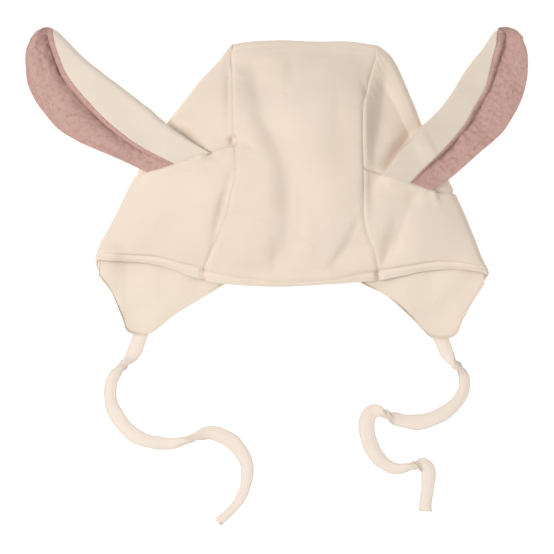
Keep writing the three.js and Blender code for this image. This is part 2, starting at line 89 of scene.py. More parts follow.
# Front opening edge by share of the way across a side panel or the band, and how far the lining
# rolls out past the outer cloth
SIDE_HEM = table(
    "share left right roll",
    (0.0, -0.0420, -0.0498, 0.0016),
    (0.05, -0.0423, -0.0492, 0.0022),
    (0.27, -0.0432, -0.0477, 0.0025),
    (0.52, -0.0448, -0.0483, 0.0032),
    (0.75, -0.0487, -0.0506, 0.0036),
    (1.0, -0.0534, -0.0536, 0.0041),
)
BAND_HEM = table(
    "share y roll",
    (0.0, -0.0534, 0.0041),
    (0.11, -0.0553, 0.0034),
    (0.42, -0.0569, 0.0014),
    (0.67, -0.0558, 0.0014),
    (1.0, -0.0536, 0.0041),
)
FLAP = table(
    "share left right roll",
    (0.0, -0.0420, -0.0498, 0.0016),
    (0.012, -0.0473, -0.0522, 0.0018),
    (0.05, -0.0517, -0.0562, 0.0014),
    (0.13, -0.0607, -0.0660, 0.0008),
    (0.20, -0.0740, -0.0764, 0.0008),
    (0.23, -0.0810, -0.0822, 0.0008),
    (0.28, -0.0829, -0.0849, 0.0008),
    (0.36, -0.0832, -0.0853, 0.0008),
    (0.42, -0.0810, -0.0846, 0.0008),
    (0.56, -0.0719, -0.0734, 0.0008),
    (0.72, -0.0640, -0.0623, 0.0008),
    (0.89, -0.0557, -0.0553, 0.0008),
    (1.0, -0.0495, -0.0495, 0.0008),
)
NAPE = -0.0495
NAPE_BOW = 0.0025
FLAP_ROLL = 0.0008
CROWN_RISE = 0.0029
DOME = 0.8

EAR_SEAM = table(
    "share left right back_left back_right",
    (0.0, 0.0039, -0.0058, 0.0039, -0.0058),
    (0.23, 0.0068, -0.0047, 0.005, -0.004),
    (0.47, 0.0116, -0.0008, 0.006, -0.0025),
    (0.75, 0.0172, 0.0041, 0.007, -0.001),
    (1.0, 0.0214, 0.0074, 0.008, 0.0),
)

# Soft folds of the front layer: a dent where depth is positive, a ridge where it is negative. Turn is
# the angle of the length from +X, and left and right are the widths on either side of it.
FOLDS = table(
    "x y turn length left right depth",
    (-0.0095, 0.0500, -79, 0.018, 0.0110, 0.0075, 0.0048),
    (-0.0005, 0.0230, -65, 0.014, 0.0120, 0.0070, 0.0044),
    (0.0070, -0.0050, -87, 0.018, 0.0130, 0.0072, 0.0042),
    (0.0045, -0.0340, -102, 0.013, 0.0100, 0.0060, 0.0022),
    (0.0075, 0.0620, -92, 0.011, 0.0040, 0.0040, 0.0012),
    (0.0575, 0.0380, -100, 0.026, 0.0260, 0.0050, 0.0066),
    (0.0370, -0.0370, -123, 0.013, 0.0120, 0.0030, 0.0026),
    (0.0640, -0.0062, -15, 0.018, 0.0040, 0.0140, 0.0016),
    (0.0620, -0.0330, -106, 0.016, 0.0080, 0.0040, 0.0028),
)
# Where the front hem lies, by x, and the share of its full sink onto the flap there
HEM_SINK = table(
    "x y share",
    (-0.1000, -0.0420, 0.0),
    (-0.0960, -0.0423, -0.9),
    (-0.0895, -0.0426, -1.1),
    (-0.0820, -0.0430, 0.6),
    (-0.0740, -0.0437, 1.0),
    (-0.0500, -0.0500, 1.0),
    (-0.0290, -0.0550, 0.2),
    (-0.0200, -0.0565, 0.0),
    (0.0350, -0.0560, 0.0),
    (0.0470, -0.0545, 0.4),
    (0.0600, -0.0525, 1.0),
    (0.0960, -0.0483, 0.8),
    (0.1060, -0.0490, 0.1),
    (0.1150, -0.0498, 0.0),
)
HEM_SINK_DEPTH = 0.0020
HEM_SINK_REACH = 0.0130
FINE_FOLDS = table(
    "x y turn length left right depth",
    (-0.0262, 0.0490, -90, 0.016, 0.0010, 0.0022, 0.0020),
    (-0.0243, 0.0222, -70, 0.0019, 0.0015, 0.0016, 0.0052),
    (-0.0168, 0.0196, -24, 0.0050, 0.0012, 0.0012, 0.0008),
    (-0.0300, 0.0190, 200, 0.006, 0.0014, 0.0014, 0.0005),
    (0.0478, 0.0500, -80, 0.0040, 0.0020, 0.0016, 0.0016),
    (0.0530, 0.0300, -88, 0.024, 0.008, 0.003, 0.0022),
    (0.0510, -0.0050, -90, 0.012, 0.005, 0.002, 0.0014),
    (0.0430, 0.0200, -90, 0.036, 0.003, 0.005, -0.0005),
    (-0.0015, -0.0400, -90, 0.010, 0.0024, 0.0020, 0.0006),
    (0.0420, -0.0245, -120, 0.005, 0.0024, 0.0020, 0.0009),
    (0.0735, -0.0100, -95, 0.007, 0.004, 0.003, 0.0009),
    (0.0670, -0.0300, -106, 0.013, 0.0016, 0.0030, 0.0010),
    (0.0585, -0.0440, -112, 0.008, 0.0014, 0.0016, 0.0012),
    (-0.0290, -0.0150, -105, 0.020, 0.0010, 0.0030, 0.0036),
    (0.0880, -0.0300, -120, 0.014, 0.006, 0.006, 0.0007),
    (-0.0620, -0.0250, 60, 0.020, 0.007, 0.007, 0.0006),
    (0.0170, -0.0300, -95, 0.018, 0.004, 0.004, -0.0005),
    (0.0330, 0.0350, -86, 0.016, 0.004, 0.004, 0.0006),
    (-0.0490, 0.0245, -39, 0.015, 0.0026, 0.0012, 0.0036),
    (0.0680, 0.0175, 52, 0.019, 0.0055, 0.0014, 0.0050),
)

EAR_REST = 0.0003  # clearance between an ear and what it lies on
EAR_BLEND = 0.002  # how softly an ear leaves the hat that it lies on
EAR_TUCK = 0.0018  # length of an ear that is hidden in the seam
EAR_RIPPLE = 0.0006  # height of the broad unevenness of an ear's cloth
EAR_STRIP = 0.0012  # how far the front's rolled strip stands up
EDGE_PLUMP = 0.0004  # height of the soft ridge along a turned edge
EDGE_PLUMP_AT = 0.0030  # its distance from the edge
EDGE_PLUMP_WIDTH = 0.0020
SIDE_GROOVE = 0.0026  # depth of the hem's groove on the side panels
BAND_GROOVE = 0.0018  # and on the crown band
HEM_LINE_WIDTH = 0.0010  # half the width of the groove, and of the ticks over the lining's seams
FLAP_DENT = 0.0015  # depth of the soft dents in the lining on the flaps
TIE_SIDES = 32

# The ears, a row for each station from the base seam to the tip. Fold is the lengthwise fold, lip the
# free edge that is folded over, edge the free edge of the lower half.
EARS = {
    "left": table(
        "station fold_x fold_y lip_x lip_y edge_x edge_y rise roll",
        (0, -0.0380, 0.0164, -0.0561, 0.0098, -0.0704, 0.0049, 0.0130, 0.0019),
        (1, -0.0500, 0.0240, -0.0630, 0.0134, -0.0740, 0.0068, 0.0120, 0.0020),
        (2, -0.0610, 0.0316, -0.0740, 0.0196, -0.0833, 0.0110, 0.0105, 0.0022),
        (3, -0.0700, 0.0390, -0.0835, 0.0263, -0.0952, 0.0156, 0.0085, 0.0024),
        (4, -0.0800, 0.0475, -0.0935, 0.0348, -0.1080, 0.0216, 0.0065, 0.0026),
        (5, -0.0895, 0.0550, -0.1020, 0.0436, -0.1186, 0.0280, 0.0046, 0.0028),
        (6, -0.0990, 0.0620, -0.1095, 0.0522, -0.1265, 0.0368, 0.0030, 0.0030),
        (7, -0.1063, 0.0682, -0.1150, 0.0600, -0.1320, 0.0443, 0.0018, 0.0032),
        (8, -0.1133, 0.0751, -0.1189, 0.0695, -0.1363, 0.0533, 0.0009, 0.0033),
        (9, -0.1177, 0.0793, -0.1212, 0.0765, -0.1377, 0.0623, 0.0004, 0.0034),
        (10, -0.1202, 0.0818, -0.1221, 0.0809, -0.1378, 0.0712, 0.0001, 0.0035),
        (11, -0.1222, 0.0833, -0.1224, 0.0831, -0.1353, 0.0778, 0.0000, 0.0035),
    ),
    "right": table(
        "station fold_x fold_y lip_x lip_y edge_x edge_y rise roll",
        (0, 0.0588, 0.0049, 0.0728, 0.0000, 0.0854, -0.0039, 0.0130, 0.0012),
        (1, 0.0677, 0.0178, 0.0820, 0.0098, 0.0938, 0.0017, 0.0115, 0.0014),
        (2, 0.0758, 0.0262, 0.0890, 0.0166, 0.1016, 0.0082, 0.0100, 0.0016),
        (3, 0.0828, 0.0334, 0.0960, 0.0242, 0.1095, 0.0150, 0.0080, 0.0018),
        (4, 0.0894, 0.0410, 0.1022, 0.0320, 0.1172, 0.0214, 0.0060, 0.0020),
        (5, 0.0954, 0.0493, 0.1072, 0.0406, 0.1243, 0.0286, 0.0043, 0.0023),
        (6, 0.1016, 0.0590, 0.1134, 0.0516, 0.1310, 0.0395, 0.0026, 0.0027),
        (7, 0.1068, 0.0663, 0.1158, 0.0599, 0.1344, 0.0473, 0.0016, 0.0032),
        (8, 0.1117, 0.0723, 0.1176, 0.0680, 0.1366, 0.0557, 0.0008, 0.0037),
        (9, 0.1157, 0.0775, 0.1194, 0.0748, 0.1375, 0.0632, 0.0004, 0.0041),
        (10, 0.1183, 0.0812, 0.1201, 0.0798, 0.1372, 0.0718, 0.0001, 0.0044),
        (11, 0.1204, 0.0833, 0.1206, 0.0831, 0.1350, 0.0784, 0.0000, 0.0045),
    ),
}

# Routes of the ties on the surface, from the flap tip to the free end
TIE_ROUTES = {
    "left": (
        (-0.0753, -0.0842), (-0.0774, -0.0905), (-0.0798, -0.0954), (-0.0841, -0.0993),
        (-0.0880, -0.1042), (-0.0908, -0.1086), (-0.0918, -0.1141), (-0.0913, -0.1218),
        (-0.0879, -0.1287), (-0.0838, -0.1343), (-0.0781, -0.1394), (-0.0715, -0.1422),
        (-0.0644, -0.1433), (-0.0567, -0.1438), (-0.0495, -0.1411), (-0.0440, -0.1394),
        (-0.0374, -0.1372), (-0.0314, -0.1389), (-0.0248, -0.1422), (-0.0198, -0.1482),
        (-0.0165, -0.1548), (-0.0165, -0.1631), (-0.0187, -0.1708), (-0.0226, -0.1774),
        (-0.0281, -0.1829), (-0.0325, -0.1867),
    ),
    "right": (
        (0.0902, -0.0863), (0.0908, -0.0877), (0.0930, -0.0932), (0.0957, -0.0982),
        (0.1007, -0.1031), (0.1029, -0.1070), (0.1029, -0.1130), (0.1012, -0.1174),
        (0.0979, -0.1218), (0.0930, -0.1262), (0.0864, -0.1295), (0.0798, -0.1317),
        (0.0726, -0.1317), (0.0655, -0.1301), (0.0600, -0.1279), (0.0556, -0.1257),
        (0.0517, -0.1262), (0.0495, -0.1301), (0.0490, -0.1361), (0.0506, -0.1422),
        (0.0534, -0.1488), (0.0583, -0.1543), (0.0644, -0.1576), (0.0699, -0.1570),
        (0.0759, -0.1554), (0.0803, -0.1549), (0.0831, -0.1576), (0.0831, -0.1631),
        (0.0825, -0.1702), (0.0814, -0.1768), (0.0814, -0.1807),
    ),
}
# How each tie turns about its own length, in degrees, and how wide it lies, by share of its length
TIE_TURNS = {
    "left": table(
        "share turn width",
        (0.0, 0, 0.0080), (0.06, 2, 0.0079), (0.095, 30, 0.0074), (0.12, 90, 0.0066),
        (0.16, 160, 0.0068), (0.20, 178, 0.0067), (0.245, 182, 0.0070), (0.29, 184, 0.0080),
        (0.365, 184, 0.0080), (0.45, 180, 0.0072), (0.52, 200, 0.0062), (0.56, 262, 0.0062),
        (0.60, 335, 0.0072), (0.64, 356, 0.0079), (0.71, 362, 0.0084), (0.785, 364, 0.0073),
        (0.85, 366, 0.0062), (0.91, 372, 0.0054), (1.0, 380, 0.0048),
    ),
    "right": table(
        "share turn width",
        (0.0, 0, 0.0084), (0.04, 0, 0.0077), (0.075, 20, 0.0071), (0.105, 80, 0.0062),
        (0.13, 140, 0.0060), (0.16, 172, 0.0061), (0.225, 182, 0.0067), (0.265, 184, 0.0073),
        (0.305, 184, 0.0080), (0.385, 184, 0.0083), (0.43, 184, 0.0077), (0.46, 200, 0.0071),
        (0.485, 260, 0.0064), (0.51, 340, 0.0074), (0.535, 360, 0.0082), (0.57, 362, 0.0087),
        (0.645, 362, 0.0086), (0.69, 362, 0.0079), (0.73, 364, 0.0070), (0.765, 372, 0.0063),
        (0.795, 395, 0.0058), (0.815, 450, 0.0060), (0.84, 530, 0.0078), (0.875, 542, 0.0079),
        (0.915, 544, 0.0074), (0.955, 546, 0.0069), (1.0, 548, 0.0066),
    ),
}


# ---------------------------------------------------------------- shape functions

def read(rows, name, at):
    """A named column between its rows, along a smooth curve through them."""
    keys, values = rows["key"], rows[name]
    count = len(keys)
    low = np.maximum(np.arange(count) - 1, 0)
    high = np.minimum(np.arange(count) + 1, count - 1)
    slopes = (values[high] - values[low]) / (keys[high] - keys[low])
    at = np.clip(at, keys[0], keys[-1])
    i = np.clip(np.searchsorted(keys, at, side="right") - 1, 0, count - 2)
    span = keys[i + 1] - keys[i]
    t = (at - keys[i]) / span
    leave, arrive = slopes[i] * span, slopes[i + 1] * span
    rest = (t ** 3 - 2 * t ** 2 + t) * leave + (t ** 3 - t ** 2) * arrive
    blend = 3 * t ** 2 - 2 * t ** 3
    return values[i] * (1 - blend) + values[i + 1] * blend + rest


def mix(a, b, share):
    return a + (b - a) * share


def between(values, place):
    """A value on the straight runs between values, at a place counted along the list."""
    i = np.clip(np.floor(place).astype(int), 0, len(values) - 2)
    stacked = np.stack(np.broadcast_arrays(*values))
    low = np.take_along_axis(stacked, i[None], 0)[0]
    high = np.take_along_axis(stacked, i[None] + 1, 0)[0]
    return mix(low, high, place - i)


def smooth(low, high, value):
    t = np.clip((value - low) / (high - low), 0, 1)
    return t * t * (3 - 2 * t)


def bump(distance, width):
    return np.exp(-((distance / width) ** 2))


def quarter_round(distance, radius):
    """Height of a quarter round, from 0 at its rim to 1 past its radius."""
    share = np.where(radius > 1e-7, distance / np.maximum(radius, 1e-7), distance)
    inward = 1 - np.clip(share, 0, 1)
    return np.sqrt(1 - inward ** 2)


def ripple(points, wavelength, seed, waves=14):
    """Smooth noise of about -1 to 1 over points, a sum of waves in random directions."""
    random = np.random.default_rng(seed)
    total = np.zeros(points.shape[:-1])
    for _ in range(waves):
        direction = random.normal(size=points.shape[-1])
        direction /= np.linalg.norm(direction)
        pace = 2 * math.pi / (wavelength * random.uniform(0.7, 1.5))
        total += np.sin(points @ direction * pace + random.uniform(0, 2 * math.pi))
    return total / math.sqrt(waves)


def fold_depth(rows, x, y):
    total = np.zeros(np.broadcast(x, y).shape)
    for i in range(len(rows["key"])):
        turn = math.radians(rows["turn"][i])
        dx, dy = x - rows["x"][i], y - rows["y"][i]
        along = dx * math.cos(turn) + dy * math.sin(turn)
        across = dy * math.cos(turn) - dx * math.sin(turn)
        width = np.where(across > 0, rows["left"][i], rows["right"][i])
        total += rows["depth"][i] * bump(along, rows["length"][i]) * bump(across, width)
    return total


def hem_sink(x, y):
    """How far the front hem settles onto the flaps, on either side of the band."""
    above = y - read(HEM_SINK, "y", x)
    return HEM_SINK_DEPTH * read(HEM_SINK, "share", x) * smooth(HEM_SINK_REACH, 0.0010, above)


def front_rise(x, y, fine=True):
    """How far the front layer stands above the doubled edge of the hat."""
    left, right = read(SECTIONS, "left_edge", y), read(SECTIONS, "right_edge", y)
    across = (2 * x - left - right) / np.maximum(right - left, 1e-7)
    room = np.maximum(1 - across ** 2, 0)
    crest = read(SECTIONS, "crest", y)
    depth = fold_depth(FOLDS, x, y)
    if fine:
        depth = depth + fold_depth(FINE_FOLDS, x, y)
    return crest * room ** DOME - depth * np.clip(crest * room / 0.006, 0, 1) - hem_sink(x, y)


def front_top(x, y, fold):
    left, right = read(SECTIONS, "left_edge", y), read(SECTIONS, "right_edge", y)
    inside = np.minimum(x - left, right - x)
    edge = smooth(-0.012, 0.004, inside) * smooth(CROWN + 0.004, CROWN - 0.004, y)
    return (2 * fold + front_rise(x, y, fine=False)) * edge


def side_point(side, across, up, fold):
    """Across is -1 at the front band seam, 0 at the silhouette, 1 at the back band seam. Up is -1 at
    the lining's edge, 0 at the outer cloth's, 1 at the ear seam and 2 at the crown."""
    share, front = np.abs(across), across < 0
    roll = np.where(front, read(SIDE_HEM, "roll", share), read(FLAP, "roll", share))
    hem = np.where(front, read(SIDE_HEM, side, share), read(FLAP, side, share)) + roll
    seam = np.where(front, read(EAR_SEAM, side, share), read(EAR_SEAM, f"back_{side}", share))
    y = between([hem - roll, hem, seam, CROWN - fold * share], up + 1)
    level = y + fold * share * np.clip(up - 1, 0, None)

    def seam_x(at):
        return np.where(front, read(SECTIONS, f"{side}_seam", at), read(BACK_SEAMS, side, at))

    reach = read(SECTIONS, f"{side}_edge", level) - seam_x(level)
    x = seam_x(y) + (1 - share) * reach
    radius = np.minimum(fold, np.abs(reach))
    distance = np.where(radius > 1e-7, share * np.abs(reach), share)
    height = fold * quarter_round(distance, radius)
    z = np.where(front, fold + height + front_rise(x, y), fold - height)
    return np.stack([x, y, z], axis=-1)


def band_point(across, along, fold):
    """Across is 0 at the left seam, 1 at the right. Along is -1 and 0 at the two forehead edges, 1 at
    the ear seam, 2 and 3 either side of the crown fold, 4 at the ear seam, 5 and 6 at the nape."""
    crown = CROWN + CROWN_RISE * 4 * across * (1 - across)

    def seam(left, right):
        return mix(EAR_SEAM[left][-1], EAR_SEAM[right][-1], across)

    edge = read(BAND_HEM, "y", across)
    hem = edge + read(BAND_HEM, "roll", across)
    nape = NAPE + NAPE_BOW * 4 * across * (1 - across)
    turn = np.clip(along - 2, 0, 1) * math.pi
    front = along < 2.5
    y = np.where(along < 2, between([edge, hem, seam("left", "right"), crown - fold], along + 1),
                 between([crown - fold, seam("back_left", "back_right"), nape + FLAP_ROLL, nape],
                         np.maximum(along - 3, 0)))
    rounding = (along >= 2) & (along <= 3)
    y = np.where(rounding, crown - fold + fold * np.sin(turn), y)
    left = np.where(front, read(SECTIONS, "left_seam", y), read(BACK_SEAMS, "left", y))
    right = np.where(front, read(SECTIONS, "right_seam", y), read(BACK_SEAMS, "right", y))
    x = mix(left, right, across)
    z = np.where(along < 2, 2 * fold + front_rise(x, y), 0.0)
    z = np.where(rounding, fold + fold * np.cos(turn), z)
    return np.stack([x, y, z], axis=-1)


def ear_point(side, across, along, sizes):
    """Across is -1 at the free edge of the lower half, 0 at the fold, 1 at the lip and 2 at the edge
    rolled out past it. Along is 0 at the base, 1 at the last station and 2 at the tip; below 0 it is
    tucked into the seam."""
    rows = EARS[side]
    place = np.clip(along, 0, 1) * rows["key"][-1]
    names = ("fold", "lip", "edge")
    fold, lip, edge = (np.stack([read(rows, f"{n}_{axis}", place) for axis in "xy"], -1) for n in names)
    toward = unit(edge - fold)
    lower = across < 0
    share = np.clip(np.abs(across), 0, 1)
    roll = np.where(lower, 0, read(rows, "roll", place))
    closing = np.where(lower, 1.0, smooth(1.30, 1.0, along))
    share, roll = share * closing, roll * closing
    past = np.clip(across - 1, 0, 1) * roll
    rim = np.where(lower[..., None], edge, lip)
    flat = mix(fold, rim, share[..., None]) + toward * past[..., None]
    base = np.array([rows[f"fold_{axis}"][0] - rows[f"fold_{axis}"][1] for axis in "xy"])
    flat += unit(base) * np.clip(-along, 0, 1)[..., None] * sizes["length"]
    turn = np.clip(along - 1, 0, 1) * math.pi / 2
    middle = (fold + edge) / 2
    out = np.stack([toward[..., 1], -toward[..., 0]], -1) * (1 if side == "left" else -1)
    # The free edge starts round the tip in the direction that it has at the last station
    leaving = unit(np.array([rows[f"edge_{axis}"][-1] - rows[f"edge_{axis}"][-2] for axis in "xy"]))
    near_edge = np.sum((flat - fold) * toward, -1) / np.linalg.norm(edge - fold, axis=-1)
    heading = mix(out, leaving, (smooth(0.3, 1.0, near_edge) * np.cos(turn) ** 2)[..., None])
    cap = heading * (sizes["tip_rounding"] * np.sin(turn))[..., None]
    flat = middle + (flat - middle) * np.cos(turn)[..., None] + cap
    reach = np.linalg.norm(rim - fold, axis=-1)
    pinch = mix(sizes["base_radius"], sizes["fold_radius"], smooth(0, sizes["pinch_length"], along))
    pinch = pinch * mix(0.25, 1.0, smooth(1.6, 0.80, along))
    radius = np.minimum(pinch, reach + roll)
    height = pinch * quarter_round(share * reach + past, radius) * np.where(lower, 1.0, np.cos(turn))
    lift = sizes["lip_lift"] * smooth(0.2, 1, across) * smooth(0, 0.2, along) * np.cos(turn)
    hat = front_top(flat[..., 0], flat[..., 1], bpy.context.scene.hat_shell.fold_radius) + EAR_REST
    free = read(rows, "rise", place) + EAR_REST
    under = EAR_BLEND * np.logaddexp(hat / EAR_BLEND, free / EAR_BLEND)
    curl = sizes["edge_curl"] * np.clip(-across, 0, 1) ** 2 * smooth(0, 0.25, along) * np.cos(turn)
    # The lower half dips along the lip and rises into a soft swell beyond it
    across_lower = np.where(lower, share * np.linalg.norm(edge - fold, axis=-1), 0)
    beyond = across_lower - np.linalg.norm(lip - fold, axis=-1) - read(rows, "roll", place)
    swell = smooth(-0.001, sizes["swell_width"], beyond) * (1 - 0.5 * smooth(0.7, 1.0, share))
    curl += np.where(lower, sizes[f"swell_{side}"] * swell * smooth(0.05, 0.3, along) * np.cos(turn), 0)
    z = under + pinch + np.sign(across) * height + lift + curl
    return np.concatenate([flat, z[..., None]], axis=-1)


# ---------------------------------------------------------------- mesh building

def unit(vectors):
    return vectors / np.maximum(np.linalg.norm(vectors, axis=-1, keepdims=True), 1e-12)


def surface_normals(surface, across, along, hand, low, high):
    """Outward normals of a surface, from small steps across and along it, kept inside its limits."""
    step = 1e-3
    over = surface(np.clip(across + step, low[0], high[0]), along) - surface(
        np.clip(across - step, low[0], high[0]), along)
    up = surface(across, np.clip(along + step, low[1], high[1])) - surface(
        across, np.clip(along - step, low[1], high[1]))
    return unit(np.cross(over, up)) * hand


def run(points, axis):
    """Distance along a grid's rows or columns from its start."""
    steps = np.linalg.norm(np.diff(points, axis=axis), axis=-1)
    zero = np.zeros_like(np.take(steps, [0], axis=axis))
    return np.concatenate([zero, np.cumsum(steps, axis=axis)], axis=axis)


def edge_distances(points):
    """Distance of each grid point from the left, right, start and end edge of its grid."""
    over, up = run(points, 1), run(points, 0)
    return {"left": over, "right": over[:, -1:] - over, "start": up, "end": up[-1:] - up}


def boundary(rows, columns):
    """Indices round the edge of a grid, and the neighbour just inside each."""
    index = np.arange(rows * columns).reshape(rows, columns)
    ring = np.concatenate([index[0, :-1], index[:-1, -1], index[-1, :0:-1], index[:0:-1, 0]])
    r, c = ring // columns, ring % columns
    inside = index[np.clip(r, 1, rows - 2), np.clip(c, 1, columns - 2)]
    return ring, inside


def wall(name, points, normals, depths, uv, rim_steps=3):
    """A closed wall of cloth between two depths under a surface, with rounded rims."""
    rows, columns = points.shape[:2]
    outer = (points - normals * np.asarray(depths[0])[..., None]).reshape(-1, 3)
    inner = (points - normals * np.asarray(depths[1])[..., None]).reshape(-1, 3)
    flat_normals, flat_uv = normals.reshape(-1, 3), uv.reshape(-1, 2)
    ring, inside = boundary(rows, columns)
    outward = outer[ring] - outer[inside]
    outward -= flat_normals[ring] * np.sum(outward * flat_normals[ring], axis=1, keepdims=True)
    outward = unit(outward)
    middle = (outer[ring] + inner[ring]) / 2
    half = np.linalg.norm(outer[ring] - inner[ring], axis=1, keepdims=True) / 2
    rims, rim_uvs = [], []
    for k in range(1, rim_steps + 1):
        angle = math.pi * k / (rim_steps + 1)
        rims.append(middle + half * (flat_normals[ring] * math.cos(angle) + outward * math.sin(angle)))
        rim_uvs.append(flat_uv[ring])
    vertices = np.concatenate([outer, *rims, inner])
    uvs = np.concatenate([flat_uv, *rim_uvs, flat_uv])
    index = np.arange(rows * columns).reshape(rows, columns)
    quads = np.stack([index[:-1, :-1], index[:-1, 1:], index[1:, 1:], index[1:, :-1]], -1).reshape(-1, 4)
    shift = len(outer) + rim_steps * len(ring)
    loops = [ring, *[len(outer) + k * len(ring) + np.arange(len(ring)) for k in range(rim_steps)],
             ring + shift]
    faces = [quads, quads[:, ::-1] + shift]
    for first, second in zip(loops[:-1], loops[1:]):
        faces.append(np.stack([first, second, np.roll(second, -1), np.roll(first, -1)], -1))
    faces = np.concatenate(faces)
    return new_mesh(name, vertices, faces, uvs, outward_from=(outer, flat_normals, quads))


def new_mesh(name, vertices, faces, uvs=None, outward_from=None):
    """A smooth mesh object from arrays; its faces are turned to point outwards."""
    if outward_from is not None:
        outer, normals, quads = outward_from
        a, b, d = (outer[quads[:, k]] for k in (0, 1, 3))
        if np.sum(np.cross(b - a, d - a) * normals[quads[:, 0]]) < 0:
            faces = faces[:, ::-1]
    mesh = bpy.data.meshes.new(name)
    mesh.from_pydata(vertices.tolist(), [], [list(face) for face in faces])
    if uvs is not None:
        layer = mesh.uv_layers.new(name="Cloth")
        corners = np.empty(len(mesh.loops), dtype=np.int32)
        mesh.loops.foreach_get("vertex_index", corners)
        layer.data.foreach_set("uv", uvs[corners].ravel().astype(np.float32))
    mesh.shade_smooth()
    mesh.validate()
    piece = bpy.data.objects.new(name, mesh)
    bpy.context.scene.collection.objects.link(piece)
    return piece


def finish_piece(piece, material, slot, *nodes):
    piece.data.materials.append(material)
    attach(piece, "root")
    if nodes:
        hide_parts(*nodes)


def cloth_piece(name, points, normals, depths, material, slot, measured=None):
    """A panel as a wall under its surface. Its cloth coordinates run along the
    measured grid, or along the surface itself."""
    grid = points if measured is None else measured
    uv = np.stack([run(grid, 1), run(grid, 0)], -1)
    piece = wall(f"{name}_cloth", points, normals, depths, uv)
    finish_piece(piece, material, slot, name)


# ---------------------------------------------------------------- cloth details

def seam_relief(points, edges, sizes, seed):
    """Height of the cloth near its sewn edges: a dip at the seam, a soft ridge and puckers."""
    distances = edge_distances(points)
    positions = {"left": run(points, 0), "right": run(points, 0),
                 "start": run(points, 1), "end": run(points, 1)}
    height = np.zeros(points.shape[:2])
    for n, edge in enumerate(edges):
        d, s = distances[edge], positions[edge][..., None]
        pucker = ripple(s, sizes["pucker_pitch"], seed + n, waves=5)
        slow = ripple(s, sizes["pucker_pitch"] * 4, seed + 20 + n, waves=4)
        height -= sizes["seam_dip"] * bump(d, sizes["seam_width"]) * sizes.get("dip_share", 1.0)
        height += sizes["seam_ridge"] * bump(d - 2.6 * sizes["seam_width"], 1.6 * sizes["seam_width"])
        fade = np.exp(-d / sizes["pucker_reach"]) * (1 - np.exp(-d / sizes["seam_width"]))
        height += sizes["pucker_depth"] * fade * (pucker + 0.6 * slow)
    return height


def cloth_ripples(points, sizes, seed):
    slow = ripple(points, 0.034, seed) * sizes["slow_ripple"]
    quick = ripple(points, 0.011, seed + 1) * sizes["quick_ripple"]
    return slow + quick


def settings_of(group_name):
    group = getattr(bpy.context.scene, group_name)
    return {key: getattr(group, key) for key in group.__annotations__}


def side_shares(front_count, back_count):
    """Places across a side panel: close together at the silhouette, even along the flap's edge."""
    front = np.linspace(1, 0, front_count + 1)[:-1] ** 1.6
    share = np.linspace(0, 1, 2001)
    outline = np.hypot(np.gradient(share * 0.080), np.gradient(read(FLAP, "left", share)))
    length = np.cumsum(outline + 0.00004 / np.sqrt(share + 0.002)) - outline[0]
    back = np.interp(np.linspace(length[0], length[-1], back_count + 1), length, share)
    back[0], back[-1] = 0, 1
    return np.concatenate([-front, back])


def side_grid(side, across, up, sizes):
    """Points and outward normals of a side panel."""
    u, v = np.meshgrid(across, up)
    hand = -1 if side == "left" else 1

    def surface(a, b):
        return side_point(side, a, b, sizes["fold_radius"])

    points = surface(u, v)
    normals = surface_normals(surface, u, v, hand, (-1, -1), (1, 2))
    crown = v >= 2
    height = np.sqrt(1 - (1 - np.abs(u)) ** 2)
    along_fold = np.stack([np.zeros_like(u), 1 - np.abs(u), np.where(u < 0, height, -height)], -1)
    return points, np.where(crown[..., None], along_fold, normals), u, v


def ear_base_span(side):
    """Shares across the side panel where an ear's base begins and ends."""
    rows = EARS[side]
    shares = []
    for end in ("edge", "fold"):
        x, y = rows[f"{end}_x"][0], rows[f"{end}_y"][0]
        seam, silhouette = read(SECTIONS, f"{side}_seam", y), read(SECTIONS, f"{side}_edge", y)
        shares.append(float(1 - (x - seam) / (silhouette - seam)))
    return shares


def turned_edge(distance, groove):
    """A turned edge: plump, then rounded down into the hem's groove."""
    plump = EDGE_PLUMP * bump(distance - EDGE_PLUMP_AT, EDGE_PLUMP_WIDTH)
    return plump - groove * bump(distance, HEM_LINE_WIDTH)


def keep_off_floor(normals, relief):
    """Relief pushes the front out both ways, but the back layer only inwards, off the floor."""
    down = np.clip(-normals[..., 2], 0, 1)
    return np.where(down > 0.3, np.minimum(relief, 0) * (1 - down) - np.abs(relief) * 0.3 * down, relief)


def make_side_panel(name, side, up, edges, sizes, seed, material):
    points, normals, u, _ = side_grid(side, side_shares(64, 96), up, sizes)
    relief = seam_relief(points, edges, sizes, seed) + cloth_ripples(points, sizes, 5)
    relief = keep_off_floor(normals, relief)
    if "end" in edges and up[0] == 0:  # the lower panel's edge lies over the ear's base
        near, far = ear_base_span(side)
        over_ear = smooth(near - 0.05, near + 0.03, -u) * smooth(far + 0.05, far - 0.03, -u)
        distance = edge_distances(points)["end"]
        relief += sizes["ear_lift"] * over_ear * bump(distance, 0.0055)
    if up[0] == 0:  # the front hem
        distance = edge_distances(points)["start"]
        front = smooth(0, 0.1, -u)
        relief += front * turned_edge(distance, SIDE_GROOVE)
    points = points + normals * relief[..., None]
    cloth_piece(name, points, normals, (0.0, sizes["jersey"]), material, "cream_jersey")


def band_grid(columns, along, sizes):
    u, v = np.meshgrid(np.linspace(0, 1, columns + 1), along)

    def surface(a, b):
        return band_point(a, b, sizes["fold_radius"])

    return surface(u, v), surface_normals(surface, u, v, 1, (0, -1), (1, 6)), u, v


def spans(*runs):
    """Evenly divided runs, as (first, last, count) triples joined end to end."""
    parts = [np.linspace(a, b, n + 1)[min(i, 1):] for i, (a, b, n) in enumerate(runs)]
    return np.concatenate(parts)


